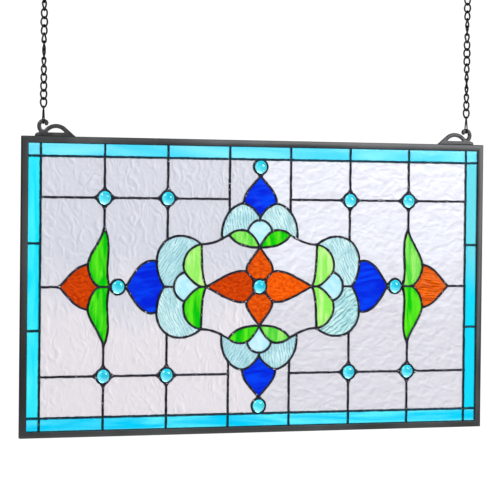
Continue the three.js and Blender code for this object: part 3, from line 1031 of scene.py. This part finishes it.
def sweep(
    stations: list[Matrix], sides: int, closed: bool = False, boxy: float = 0.0
) -> bmesh.types.BMesh:
    """Runs a round section through a row of stations.

    Args:
        stations: Where the unit circle goes at each station, and how wide it is there.
        sides: How many sides the section has.
        closed: Whether the last station runs into the first.
        boxy: How square the section is, from 0 for round to nearly 1.

    Returns:
        The closed tube.
    """
    bm = bmesh.new()
    circle = bmesh.ops.create_circle(bm, segments=sides, radius=1)["verts"]
    section = [Vector([math.copysign(abs(c) ** (1 - boxy), c) for c in v.co]) for v in circle]
    for vert, corner in zip(circle, section):
        vert.co = stations[0] @ corner
    first = list(bm.edges)
    ring = first
    for place in stations[1:]:
        grown = bmesh.ops.extrude_edge_only(bm, edges=ring)["geom"]
        ring = [e for e in grown if isinstance(e, bmesh.types.BMEdge)]
        verts = [v for v in grown if isinstance(v, bmesh.types.BMVert)]
        for vert, corner in zip(verts, section):
            vert.co = place @ corner
    if closed:
        bmesh.ops.bridge_loops(bm, edges=first + ring)
    else:
        bmesh.ops.edgeloop_fill(bm, edges=first)
        bmesh.ops.edgeloop_fill(bm, edges=ring)
    bmesh.ops.recalc_face_normals(bm, faces=bm.faces)
    return bm


def fuse(bm: bmesh.types.BMesh, grain: float) -> bmesh.types.BMesh:
    """Melts the overlapping parts of a mesh into one skin, as a casting has.

    Args:
        bm: The parts, which are freed.
        grain: The size of the skin's faces.

    Returns:
        The skin, with its edges softened.
    """
    mesh = bpy.data.meshes.new("parts")
    bm.to_mesh(mesh)
    bm.free()
    holder = bpy.data.objects.new("parts", mesh)
    bpy.context.scene.collection.objects.link(holder)
    skin = holder.modifiers.new("skin", "REMESH")
    skin.mode = "VOXEL"
    skin.voxel_size = grain
    evaluated = holder.evaluated_get(bpy.context.evaluated_depsgraph_get())
    fused = bmesh.new()
    fused.from_mesh(evaluated.to_mesh())
    evaluated.to_mesh_clear()
    bpy.data.objects.remove(holder)
    bpy.data.meshes.remove(mesh)
    every_way = {"use_axis_x": True, "use_axis_y": True, "use_axis_z": True}
    for _ in range(SMOOTHING_PASSES):
        bmesh.ops.smooth_vert(fused, verts=fused.verts, factor=0.5, **every_way)
    return fused


def plate(outline: list[Vector], half_depth: float) -> bmesh.types.BMesh:
    """A flat plate of an outline in the panel's plane, as thick as twice half_depth."""
    bm = bmesh.new()
    face = bm.faces.new([bm.verts.new(corner - Vector((0, half_depth, 0))) for corner in outline])
    grown = bmesh.ops.extrude_face_region(bm, geom=[face])["geom"]
    verts = [v for v in grown if isinstance(v, bmesh.types.BMVert)]
    bmesh.ops.translate(bm, vec=(0, 2 * half_depth, 0), verts=verts)
    bmesh.ops.recalc_face_normals(bm, faces=bm.faces)
    return bm


def sheet(outline: Line, cell: float, front: Callable, rear: Callable) -> bmesh.types.BMesh:
    """A sheet of glass of an outline, with an even mesh and a shaped front and back.

    Args:
        outline: The sheet's outline in millimetres.
        cell: The distance between its points.
        front: The y of its front at (x, z).
        rear: The y of its back.

    Returns:
        The closed sheet, in millimetres.
    """
    rim = cut_finer(outline, cell)
    edge = np.array(rim)
    following = np.roll(edge, -1, axis=0)
    low, high = edge.min(0), edge.max(0)
    rows = np.arange(low[1], high[1], cell * ROW_HEIGHT)
    columns = np.arange(low[0], high[0], cell)
    inner = np.array([(x + (i % 2) * cell / 2, z) for i, z in enumerate(rows) for x in columns])
    offset = inner[:, None] - edge[None]
    run = following - edge
    share = np.clip((offset * run).sum(2) / (run**2).sum(1), 0, 1)
    gap = np.linalg.norm(offset - share[..., None] * run, axis=2).min(1)
    above = (edge[:, 1] > inner[:, None, 1]) != (following[:, 1] > inner[:, None, 1])
    with np.errstate(divide="ignore", invalid="ignore"):
        reach = edge[:, 0] + run[:, 0] * (inner[:, None, 1] - edge[:, 1]) / run[:, 1]
    inside = (above & (inner[:, None, 0] < reach)).sum(1) % 2 == 1
    kept = inner[inside & (gap > RIM_GAP * cell)]
    points = [Vector(p) for p in rim] + [Vector(p) for p in kept]
    whole_rim = [list(range(len(rim)))]
    flat, _, faces, *_ = delaunay_2d_cdt(points, [], whole_rim, INSIDE_ONLY, SAME_CORNER)
    bm = bmesh.new()
    verts = [bm.verts.new((p.x, 0, p.y)) for p in flat]
    for face in faces:
        bm.faces.new([verts[i] for i in face])
    grown = bmesh.ops.extrude_face_region(bm, geom=bm.faces[:])["geom"]
    for vert in (v for v in grown if isinstance(v, bmesh.types.BMVert)):
        vert.co.y = rear(vert.co.x, vert.co.z)
    for vert in verts:
        vert.co.y = front(vert.co.x, vert.co.z)
    return bm


@dataclass(frozen=True)
class Relief:
    """The rolled texture on a sheet of glass, in millimetres."""

    depth: float
    across: float
    along: float
    tilt: float = 0.0
    seed: float = 0.0

    def height(self, x: float, z: float) -> float:
        """How far the glass stands out at a place."""
        turn = math.radians(self.tilt)
        u = (x * math.cos(turn) + z * math.sin(turn)) / self.across
        v = (z * math.cos(turn) - x * math.sin(turn)) / self.along
        drift = noise.noise(Vector((u * 0.3, v * 0.3, self.seed + 7)))
        return self.depth * noise.noise(Vector((u + drift, v - drift, self.seed)))

    def sheet(self, outline: Line, cell: float, half: float) -> bmesh.types.BMesh:
        """A sheet of glass with this texture on its front, and a faint wave behind."""
        return sheet(
            outline,
            cell,
            lambda x, z: -half - self.height(x, z),
            lambda x, z: half + 0.2 * self.height(z, x),
        )


# ------------------------------------------------------------------ the glass


@dataclass(frozen=True)
class GlassWork:
    """All the glass of the panel. Sheets run a little way under the solder."""

    half: float = 1.45
    tuck: float = 0.55
    under_channel: float = 2.0
    border_cell: float = 2.6
    clear_cell: float = 1.9
    coloured_cell: float = 1.5
    clear_thinner: float = 0.2
    gem_radius: float = 8.05
    gem_front: float = 4.8
    gem_rim: float = -0.5
    gem_back: float = 1.2
    dome_steps: int = 10
    bevel_steps: int = 4
    gem_sides: int = 40

    # The painted crescent of gathered light in each nugget: where its middle lies, and how its
    # share grows from there, all in radii of the nugget.
    CRESCENT_X, CRESCENT_Z = 0.15, 0.35
    CRESCENT_FROM, CRESCENT_SPREAD, CRESCENT_MOST = 0.6, 0.9, 0.5

    def make(self, workshop: Workshop) -> None:
        """Makes every piece of glass."""
        self.border(workshop)
        self.clear(workshop)
        self.coloured(workshop)
        self.gems(workshop)

    def border(self, workshop: Workshop) -> None:
        """The tiles of the border, in four strips."""
        p = PATTERN
        reach_x = workshop.half.x - self.under_channel
        reach_z = workshop.half.z - self.under_channel
        columns = [-c for c in reversed(p.columns)] + list(p.columns)
        level = [-reach_x, -p.border_x, *columns, p.border_x, reach_x]
        upright = [-p.border_z, -p.crossbar, p.crossbar, p.border_z]
        finishes = {
            "border_top": Finish.CYAN_TOP,
            "border_bottom": Finish.CYAN_FOOT,
            "border_left": Finish.CYAN_LEFT,
            "border_right": Finish.CYAN_RIGHT,
        }
        strips = {name: [] for name in finishes}
        for left, right in zip(level, level[1:]):
            tile = [(left, p.border_z), (right, p.border_z), (right, reach_z), (left, reach_z)]
            strips["border_top"].append(tile)
            strips["border_bottom"].append(flip(tile, 1, -1))
        for low, high in zip(upright, upright[1:]):
            tile = [(p.border_x, low), (reach_x, low), (reach_x, high), (p.border_x, high)]
            strips["border_right"].append(tile)
            strips["border_left"].append(flip(tile, -1, 1))
        for name, tiles in strips.items():
            whole = bmesh.new()
            for i, tile in enumerate(tiles):
                relief = Relief(0.25, 14, 40, 90 if len(tiles) > 3 else 0, i * 3.1)
                outline = inset(tile, self.tuck)
                add_mesh(whole, relief.sheet(outline, self.border_cell, self.half))
            workshop.settle(whole)
            workshop.piece(name, whole, finishes[name], [name])

    def clear(self, workshop: Workshop) -> None:
        """The clear panes, in two halves."""
        halves = {"clear_glass_left": bmesh.new(), "clear_glass_right": bmesh.new()}
        for quarter in Quarter:
            sign_x, sign_z = quarter.value
            whole = halves["clear_glass_right" if sign_x > 0 else "clear_glass_left"]
            for i, pane in enumerate(PATTERN.clear_panes()):
                tilt = 20 * sign_x + 9 * i if sign_z > 0 else 55 * sign_x - 8 * i
                relief = Relief(0.3, 7, 14, tilt, 11.3 * i + 3 * sign_x + sign_z)
                outline = inset(flip(pane, sign_x, sign_z), self.tuck)
                half = self.half - self.clear_thinner
                add_mesh(whole, relief.sheet(outline, self.clear_cell, half))
        for name, whole in halves.items():
            workshop.settle(whole)
            finish = Finish.CLEAR_STROKES if name.endswith("left") else Finish.CLEAR_ARCS
            workshop.piece(name, whole, finish, [name])

    def coloured(self, workshop: Workshop) -> None:
        """The cut pieces of coloured glass."""
        finishes = {
            "petal": Finish.WARM_ORANGE,
            "petal_left": Finish.ORANGE,
            "petal_right": Finish.BRIGHT_ORANGE,
            "outer_bud": Finish.ORANGE,
            "outer_bud_right": Finish.AMBER,
            "seed": Finish.SEED,
            "bud": Finish.BLUE,
            "side_shell": Finish.SHELL_FALLING,
            "side_shell_upper_left": Finish.SHELL_RISING,
            "side_shell_lower_right": Finish.SHELL_WAVED,
            "top_shell": Finish.SHELL_UPRIGHT,
            "top_shell_upper_right": Finish.SHELL_FALLING,
            "top_shell_lower_left": Finish.SHELL_RISING,
            "side_leaf": Finish.PALE_GREEN,
            "side_leaf_lower_left": Finish.DEEP_GREEN,
            "outer_leaf": Finish.DEEP_GREEN,
            "outer_leaf_upper_right": Finish.MID_GREEN,
            "top_leaf": Finish.MID_GREEN,
            "top_leaf_upper_right": Finish.DEEP_GREEN,
            "top_leaf_lower_left": Finish.DEEP_GREEN,
        }
        for i, (name, (kind, outline)) in enumerate(PATTERN.coloured().items()):
            finish = finishes.get(name, finishes[kind])
            if kind.endswith("shell"):
                relief = Relief(0.3, 4, 14, 20, i)
            else:
                relief = Relief(0.3, 7, 18, 30, i)
            glass = relief.sheet(inset(outline, self.tuck), self.coloured_cell, self.half)
            workshop.settle(glass)
            workshop.piece(name, glass, finish, [name])

    def gems(self, workshop: Workshop) -> None:
        """The round nuggets, flat behind and domed in front."""
        for name, (x, z) in PATTERN.gems().items():
            bm = bmesh.new()
            verts = [bm.verts.new((x + r, y, z)) for r, y in self.gem_profile()]
            edges = [bm.edges.new(pair) for pair in zip(verts, verts[1:])]
            bmesh.ops.spin(
                bm,
                geom=verts + edges,
                cent=(x, 0, z),
                axis=(0, 1, 0),
                angle=math.tau,
                steps=self.gem_sides,
                use_merge=True,
            )
            bmesh.ops.remove_doubles(bm, verts=bm.verts, dist=0.001)
            self.add_crescent(bm, (x, z))
            workshop.settle(bm)
            workshop.piece(name, bm, Finish.NUGGET, [name], crease=60)

    def gem_profile(self) -> Line:
        """Half the section of a nugget, from the front round to the back, as (radius, y)."""
        radius, rim = self.gem_radius, self.gem_rim
        bevel = self.gem_back - rim
        dome = [math.radians(90 * i / self.dome_steps) for i in range(self.dome_steps + 1)]
        foot = [math.radians(90 * i / self.bevel_steps) for i in range(1, self.bevel_steps + 1)]
        profile = [(radius * math.sin(t), rim - (self.gem_front + rim) * math.cos(t)) for t in dome]
        profile += [(radius - bevel * (1 - math.cos(t)), rim + bevel * math.sin(t)) for t in foot]
        return [*profile, (0, self.gem_back)]

    def add_crescent(self, bm: bmesh.types.BMesh, centre: Point) -> None:
        """Stores at each corner of a nugget how much of the painted crescent of gathered light it
        has.

        Args:
            bm: The nugget, in millimetres.
            centre: The nugget's centre.
        """
        (x, z), radius = centre, self.gem_radius
        crescent = bm.verts.layers.float.new("crescent")
        for vert in bm.verts:
            off = math.hypot(
                vert.co.x - x - self.CRESCENT_X * radius, vert.co.z - z - self.CRESCENT_Z * radius
            )
            share = (off / radius - self.CRESCENT_FROM) / self.CRESCENT_SPREAD
            vert[crescent] = min(self.CRESCENT_MOST, max(0.0, share))


# ------------------------------------------------------------------ the solder


@dataclass(frozen=True)
class SolderWork:
    """The beads of solder along every seam, and the rings round the nuggets."""

    half_width: float = 1.65
    half_depth: float = 2.6
    spacing: float = 1.6
    sides: int = 10
    ring_width: float = 1.0
    fillet: float = 2.0
    fillet_reach: float = 4.6
    ring_steps: int = 40
    lump: float = 2.2
    lump_depth: float = 1.4
    putty: float = 1.1
    putty_in: float = 7.4

    def make(self, workshop: Workshop) -> None:
        """Makes the whole network as one piece."""
        whole = bmesh.new()
        reach = self.putty_place(workshop)
        for line in self.seams(reach):
            add_mesh(whole, self.bead(line))
        for centre in PATTERN.gems().values():
            ring = arc(centre, PATTERN.ring, 0, 360, self.ring_steps)[:-1]
            add_mesh(whole, self.bead(ring, closed=True))
        # The putty line also stands for the frame's shadow on the glass, as painted shade.
        add_mesh(whole, self.putty_line(workshop))
        for x, z in self.joints(reach):
            size = self.lump * (1 + 0.15 * noise.noise(Vector((x, 0, z)) / 5))
            scale = Matrix.Diagonal((size, self.lump_depth * size, size, 1))
            shape = Matrix.Translation((x, 0, z)) @ scale
            bmesh.ops.create_icosphere(whole, subdivisions=2, radius=1, matrix=shape)
        workshop.settle(whole)
        workshop.piece("solder_lines", whole, Finish.SOLDER, ["solder_lines"], crease=60)

    def putty_place(self, workshop: Workshop) -> Point:
        """How far to the side and up from the panel's middle the line of putty and painted shadow
        lies.
        """
        return workshop.half.x - self.putty_in, workshop.half.z - self.putty_in

    def seams(self, reach: Point) -> list[Line]:
        """Every seam of the panel but the rings.

        Args:
            reach: Where the outermost seams end, to the side and up.

        Returns:
            The seams, in millimetres.
        """
        p = PATTERN
        lines: list[Line] = []
        for quarter in Quarter:
            drawn = [*p.curves().values(), *p.straight_seams(reach)]
            lines += [flip(line, *quarter.value) for line in drawn]
        for line in p.axis_seams():
            sign = (-1, 1) if line[0][1] == 0 else (1, -1)
            lines += [line, flip(line, *sign)]
        for sign in (1, -1):
            lines.append([(-reach[0], sign * p.border_z), (reach[0], sign * p.border_z)])
            lines.append([(sign * p.border_x, -reach[1]), (sign * p.border_x, reach[1])])
        return lines

    def joints(self, reach: Point) -> set[Point]:
        """The places where seams meet, apart from the rings."""
        ends = set()
        on_ring = {
            (round(x, 1), round(z, 1))
            for line in self.seams(reach)
            for x, z in (line[0], line[-1])
            if self.ring_distance((x, z)) < 0.3
        }
        for line in self.seams(reach):
            ends |= {(round(x, 1), round(z, 1)) for x, z in (line[0], line[-1])}
        within = (reach[0] - 1, reach[1] - 1)
        return {p for p in ends - on_ring if abs(p[0]) < within[0] and abs(p[1]) < within[1]}

    def ring_distance(self, place: Point) -> float:
        """How far a place is from the nearest nugget's ring."""
        centres = PATTERN.gems().values()
        return min(abs(math.dist(place, centre) - PATTERN.ring) for centre in centres)

    def bead(self, line: Line, closed: bool = False) -> bmesh.types.BMesh:
        """A bead of solder along a line, uneven as it was run by hand.

        Args:
            line: The seam.
            closed: Whether it runs back to its start.

        Returns:
            The bead, in millimetres.
        """
        points = [Vector((x, 0, z)) for x, z in respaced(line, self.spacing, closed)]
        count = len(points)
        ends = [] if closed else [points[0], points[-1]]
        fillets = [end for end in ends if self.ring_distance((end.x, end.z)) < 0.5]
        stations = []
        for i, place in enumerate(points):
            before = points[i - 1] if closed or i else place
            after = points[(i + 1) % count] if closed or i < count - 1 else place
            along = (after - before).normalized()
            side = Vector((along.z, 0, -along.x))
            wide = 1 + 0.22 * noise.noise(place / 5) + 0.2 * noise.noise(place / 1.9)
            if closed:
                wide *= self.ring_width
            for end in fillets:
                wide += self.fillet * max(0.0, 1 - (place - end).length / self.fillet_reach)
            deep = 1 + 0.1 * noise.noise(place / 3 + Vector((5, 0, 0)))
            drift = 0.35 * noise.noise(place / 9 + Vector((0, 3, 0)))
            stations.append(self.station(place + drift * side, side, along, (wide, deep)))
        if not closed:
            stations = [self.tip(stations[0], -0.6), *stations, self.tip(stations[-1], 0.6)]
        return sweep(stations, self.sides, closed)

    def putty_line(self, workshop: Workshop) -> bmesh.types.BMesh:
        """The dark line between the frame and the border: real putty, and the frame's painted
        shadow on the glass.
        """
        x, z = self.putty_place(workshop)
        corners = [Vector((a * x, 0, b * z)) for a, b in ((-1, -1), (1, -1), (1, 1), (-1, 1))]
        stations = []
        for i, corner in enumerate(corners):
            before, after = corners[i - 1], corners[(i + 1) % len(corners)]
            along = ((after - corner).normalized() + (corner - before).normalized()).normalized()
            side = Vector((-along.z, 0, along.x)) * math.sqrt(2) * self.putty / self.half_width
            stations.append(self.station(corner, side, along, (1, 0.75)))
        return sweep(stations, self.sides, closed=True)

    def station(self, place: Vector, side: Vector, along: Vector, size: Point) -> Matrix:
        """Where the bead's section goes, by its sideways and lengthways directions and its size."""
        across = side * self.half_width * size[0]
        deep = Vector((0, 1, 0)) * self.half_depth * size[1]
        return station(place, across, deep, along)

    def tip(self, end: Matrix, step: float) -> Matrix:
        """A smaller section just past the end of a bead, which rounds it."""
        return end @ Matrix.Translation((0, 0, step)) @ Matrix.Diagonal((0.6, 0.6, 1, 1))


# ------------------------------------------------------------------ the frame, hangers and chains


@dataclass(frozen=True)
class Channel:
    """The metal channel round the panel."""

    rounding: float = 0.7
    round_steps: int = 3
    same_place: float = 1e-6
    flat_angle: float = 1.0

    def make(self, workshop: Workshop) -> None:
        """Makes the frame from its solid, with its edges broken."""
        bm = bmesh.new()
        bm.from_mesh(workshop.nodes["frame"].data)
        bmesh.ops.remove_doubles(bm, verts=bm.verts, dist=self.same_place)
        flat = math.radians(self.flat_angle)
        bmesh.ops.dissolve_limit(bm, angle_limit=flat, verts=bm.verts, edges=bm.edges)
        bmesh.ops.bevel(
            bm,
            geom=bm.edges[:],
            offset=self.rounding * MM,
            offset_type="OFFSET",
            segments=self.round_steps,
            profile=0.5,
            affect="EDGES",
            material=-1,
        )
        workshop.piece("frame_channel", bm, Finish.CHANNEL, ["frame"], crease=40)


@dataclass(frozen=True)
class Hanger:
    """A cast hanger, drawn from its eye towards the panel's middle and up from the frame."""

    side: str
    eye_x: float
    half_depth: float = 2.0
    grain: float = 0.32
    sides: int = 16
    boxy: float = 0.35
    spacing: float = 0.9

    # The drawing: the plates' outlines; each bar's line with half its width at either end; and
    # the boss at each end of the curl, with its radius.
    FOOT = (
        (-9.2, 0.05), (-8.9, 1.9), (-7.8, 3.5), (-5, 4.4), (33, 4.4), (40.3, 0.7), (40.3, 0.05)
    )
    TOE = ((40.3, 0.05), (32, 0.05), (26, 9.1), (29.8, 9))
    BARS = (
        (arc((16.65, -4.45), 16.45, 158, 38, 20), 2.5, 2.6),
        (bend((1.2, 3.0), (-1.2, 5.2), (-4.2, 7.4), (-4.4, 11.5)), 2.5, 2.4),
        (bend((-4.4, 11.5), (-4.5, 15.2), (-2.1, 17.9), (0.8, 17.9)), 2.4, 2.2),
        (bend((0.8, 17.9), (3.3, 17.9), (5.9, 16.7), (4.8, 14.5)), 2.2, 2.1),
        ([(4.8, 14.5), (3.8, 13.4)], 2.1, 1.7),
    )
    BOSSES = ((1.2, 5.3, 2.4), (4.4, 14.2, 1.9))

    def at(self, workshop: Workshop, u: float, w: float) -> Vector:
        """The place on the panel of a place on the hanger's drawing."""
        return Vector((self.eye_x + (u if self.eye_x < 0 else -u), 0, workshop.half.z + w))

    def make(self, workshop: Workshop) -> None:
        """Makes the casting."""
        whole = bmesh.new()
        for outline in (self.FOOT, self.TOE):
            add_mesh(whole, plate([self.at(workshop, *p) for p in outline], self.half_depth))
        for line, first, last in self.BARS:
            add_mesh(whole, self.run(workshop, line, first, last))
        for u, w, size in self.BOSSES:
            scale = Matrix.Diagonal((size, self.half_depth, size, 1))
            shape = Matrix.Translation(self.at(workshop, u, w)) @ scale
            bmesh.ops.create_icosphere(whole, subdivisions=3, radius=1, matrix=shape)
        whole = fuse(whole, self.grain)
        workshop.settle(whole)
        name = f"hanger_{self.side}"
        workshop.piece(f"{name}_casting", whole, Finish.CASTING, [name], crease=75)

    def run(
        self, workshop: Workshop, line: Line, first: float, last: float
    ) -> bmesh.types.BMesh:
        """A rounded bar along a line, with half its width at each end."""
        points = [self.at(workshop, u, w) for u, w in respaced(line, self.spacing)]
        end = len(points) - 1
        flat = Vector((0, self.half_depth, 0))
        stations = []
        for i, place in enumerate(points):
            along = (points[min(i + 1, end)] - points[max(i - 1, 0)]).normalized()
            size = first + (last - first) * i / end
            side = Vector((along.z, 0, -along.x)) * size
            stations.append(station(place, side, flat, along))
        return sweep(stations, self.sides, boxy=self.boxy)


@dataclass(frozen=True)
class Chain:
    """A chain of twisted wire links, from the hanger's curl up to the end ring."""

    side: str
    eye_x: float
    turn: Callable[[float], float]
    edge_on: float
    wire: float = 2.2
    width: float = 9.6
    pitch: float = 9.5
    links: int = 17
    first_contact: float = 212.4
    foot: float = 193.4
    twist: float = 52.0
    ring_inner: float = 16.0
    ring_wire: float = 2.4
    from_eye: float = 0.8
    connecting_size: Point = (9.0, 1.7)
    connecting_turn: float = 92.0
    wire_sides: int = 8
    wire_spacing: float = 1.25

    def make(self, workshop: Workshop) -> None:
        """Makes the whole chain as one piece."""
        whole = bmesh.new()
        span = (self.foot, self.first_contact)
        turn = (self.edge_on + self.connecting_turn) / 2
        twist = self.connecting_turn - self.edge_on
        add_mesh(whole, self.link(span, self.connecting_size, turn, twist))
        size = (self.width, self.wire)
        for count in range(self.links):
            low = self.first_contact + count * self.pitch
            add_mesh(whole, self.link((low, low + self.pitch), size, self.turn(count), self.twist))
        low = self.first_contact + self.links * self.pitch
        ring = (self.ring_inner + 2 * self.ring_wire, self.ring_wire)
        add_mesh(whole, self.link((low, low + self.ring_inner), ring, 0, 0))
        workshop.settle(whole)
        name = f"chain_{self.side}"
        workshop.piece(f"{name}_links", whole, Finish.LINKS, [name], crease=60)

    def link(self, span: Point, size: Point, turn: float, twist: float) -> bmesh.types.BMesh:
        """One link.

        Args:
            span: The heights of the insides of its lower and upper ends.
            size: Its outer width and the thickness of its wire.
            turn: How far its middle is turned about the chain, in degrees.
            twist: How far its lower end is turned from its upper end.

        Returns:
            The closed link, in millimetres.
        """
        x = self.eye_x + (self.from_eye if self.eye_x < 0 else -self.from_eye)
        (low, high), (width, wire) = span, size
        reach = (width - wire) / 2
        height = max(reach, (high - low + wire) / 2)
        if height < 2 * reach:
            loop = [(u, w * height / reach) for u, w in arc((0, 0), reach, 0, 360, 32)[:-1]]
        else:
            upper = arc((0, height - reach), reach, 0, 180, 10)
            loop = path(upper, arc((0, reach - height), reach, 180, 360, 10))
        loop = respaced(loop, self.wire_spacing, closed=True)
        places, normals = [], []
        for u, w in loop:
            angle = math.radians(turn - twist * w / (2 * height))
            outward, sideways = math.cos(angle), math.sin(angle)
            places.append(Vector((x + u * outward, u * sideways, (low + high) / 2 + w)))
            normals.append(Vector((-sideways, outward, 0)))
        stations = []
        for i, (place, normal) in enumerate(zip(places, normals)):
            along = (places[(i + 1) % len(places)] - places[i - 1]).normalized()
            side = normal.cross(along).normalized() * wire / 2
            flat = along.cross(side).normalized() * wire / 2
            stations.append(station(place, side, flat, along))
        return sweep(stations, self.wire_sides, closed=True)


# ------------------------------------------------------------------ the studio


@dataclass(frozen=True)
class Studio:
    """The camera, the light and the floor round the hanging panel."""

    aim: Colour = (-0.0128, 0.0, 0.0445)
    distance: float = 3.1332
    yaw: float = -23.03
    pitch: float = -1.02
    roll: float = -0.594
    lens: float = 185.3
    clip_end: float = 50.0
    floor_drop: float = 0.75
    floor_radius: float = 3.0
    floor_sides: int = 64
    floor_colour: tuple[float, ...] = (0.9, 0.9, 0.9, 1)

    # Each soft lamp's place from the panel's middle and its width, in metres, and its power.
    LAMPS = {
        "key softbox": ((0.95, -1.15, 0.5), 0.5, 13),
        "fill softbox": ((-0.9, -1.2, 1.2), 0.7, 34),
    }
    # The strengths of the light from all round: as it falls on things, and behind the panel.
    AMBIENT = 1.25
    BACKDROP = 1.05
    # The light through the glass: its mean, how much it sways from side to side and how fast.
    THROUGH, SWAY, SWAY_RATE = 1.04, 0.12, 6.0
    # The bright window: how near its direction a ray must point, and how bright it gets.
    WINDOW_SPAN = (0.945, 0.985)
    WINDOW_GLOW = (0.0, 8.0)
    # The light in polished metal and glass: its direction, and its least and most.
    POLISH_FROM = (0.77, -0.61, 0.16)
    POLISH_GLOW = (0.04, 0.14)

    def make(self, workshop: Workshop) -> None:
        """Sets up the whole studio."""
        yaw, pitch, roll = (math.radians(angle) for angle in (self.yaw, self.pitch, self.roll))
        turn = Matrix.Rotation(yaw, 3, "Z") @ Matrix.Rotation(pitch, 3, "X")
        turn = turn @ Matrix.Rotation(roll, 3, "Y")
        self.camera(workshop, turn)
        self.floor(workshop)
        self.surroundings(turn)
        for name, (place, size, power) in self.LAMPS.items():
            self.softbox(name, workshop.middle, place, size, power)
        bpy.context.scene.view_settings.view_transform = "Standard"

    def camera(self, workshop: Workshop, turn: Matrix) -> None:
        """Adds the camera, turned and aimed near the middle of the panel."""
        data = bpy.data.cameras.new("camera")
        data.lens = self.lens
        data.clip_end = self.clip_end
        camera = bpy.data.objects.new("camera", data)
        place = workshop.middle + Vector(self.aim) - self.distance * turn.col[1]
        upright = turn @ Matrix.Rotation(math.radians(90), 3, "X")
        camera.matrix_world = Matrix.Translation(place) @ upright.to_4x4()
        bpy.context.scene.collection.objects.link(camera)
        bpy.context.scene.camera = camera

    def floor(self, workshop: Workshop) -> None:
        """Adds the pale floor, well below the panel."""
        bm = bmesh.new()
        height = workshop.middle.z - self.floor_drop - workshop.half.z * MM
        bmesh.ops.create_circle(
            bm,
            cap_ends=True,
            segments=self.floor_sides,
            radius=self.floor_radius,
            matrix=Matrix.Translation((0, 0, height)),
        )
        mesh = bpy.data.meshes.new("floor")
        bm.to_mesh(mesh)
        bm.free()
        bench = Bench("pale floor")
        bench.shade(Base_Color=self.floor_colour, Roughness=0.8)
        mesh.materials.append(bench.material)
        floor = bpy.data.objects.new("floor", mesh)
        bpy.context.scene.collection.objects.link(floor)

    def surroundings(self, turn: Matrix) -> None:
        """Lights the studio from all round.

        Args:
            turn: The camera's rightward, forward and upward directions as columns. The light
                that comes through the glass sways softly from side to side, and is brightest
                in a window up and to the right, behind the panel.
        """
        world = bpy.data.worlds.new("studio")
        bpy.context.scene.world = world
        world.use_nodes = True
        wiring = Wiring(world.node_tree)
        way = wiring.node("ShaderNodeTexCoord").outputs["Generated"]
        rays = wiring.node("ShaderNodeLightPath").outputs
        right, forward, up = turn.col

        def towards(direction: Vector) -> Socket:
            """How far a ray points in a direction, from -1 to 1."""
            return wiring.on_vectors("DOT_PRODUCT", way, direction.normalized())

        rate = wiring.calculate("MULTIPLY", towards(right + 0.5 * up), self.SWAY_RATE)
        sway = wiring.calculate("SINE", rate)
        window = towards(1.4 * forward + 0.45 * right + up)
        glow = wiring.within(window, self.WINDOW_SPAN, self.WINDOW_GLOW)
        through = wiring.calculate("MULTIPLY_ADD", sway, self.SWAY, self.THROUGH)
        through = wiring.calculate("ADD", through, glow)
        polish = towards(Vector(self.POLISH_FROM))
        polished = wiring.within(polish, (-1.0, 1.0), self.POLISH_GLOW)
        strength = self.AMBIENT
        shades = {
            "Is Glossy Ray": polished,
            "Is Transmission Ray": through,
            "Is Camera Ray": self.BACKDROP,
        }
        for ray, shade in shades.items():
            sources = {VALUE_SHARE: rays[ray], VALUE_FIRST: strength, VALUE_SECOND: shade}
            strength = wiring.node("ShaderNodeMix", sources).outputs[VALUE_RESULT]
        background = wiring.nodes["Background"].inputs
        wiring.feed(background["Strength"], strength)
        wiring.feed(background["Color"], (1, 1, 1, 1))

    def softbox(self, name: str, target: Vector, place: Colour, size: float, power: float) -> None:
        """Adds a soft lamp.

        Args:
            name: The lamp's name.
            target: What it points at.
            place: Where it stands from the target, in metres.
            size: Its width in metres.
            power: Its power in watts.
        """
        data = bpy.data.lights.new(name, "AREA")
        data.size = size
        data.energy = power
        lamp = bpy.data.objects.new(name, data)
        lamp.visible_camera = lamp.visible_transmission = False
        lamp.location = target + Vector(place)
        lamp.rotation_euler = (-Vector(place)).to_track_quat("-Z", "Y").to_euler()
        bpy.context.scene.collection.objects.link(lamp)


def main() -> None:
    """Builds the studio, then the glass, the solder, the frame and what the panel hangs from."""
    logging.basicConfig(level=logging.INFO, format="%(name)s: %(message)s")
    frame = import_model()
    workshop = Workshop(frame)
    Studio().make(workshop)
    GlassWork().make(workshop)
    SolderWork().make(workshop)
    Channel().make(workshop)
    Hanger("left", -279.3).make(workshop)
    Hanger("right", 282.3).make(workshop)
    Chain("left", -279.3, lambda n: 1.7 * n + 1.41 * n * n, 72).make(workshop)
    Chain("right", 282.3, lambda n: 16 * (n - 0.5) + 0.6 * (n - 0.5) ** 2, 63).make(workshop)


if __name__ == "__main__":
    main()
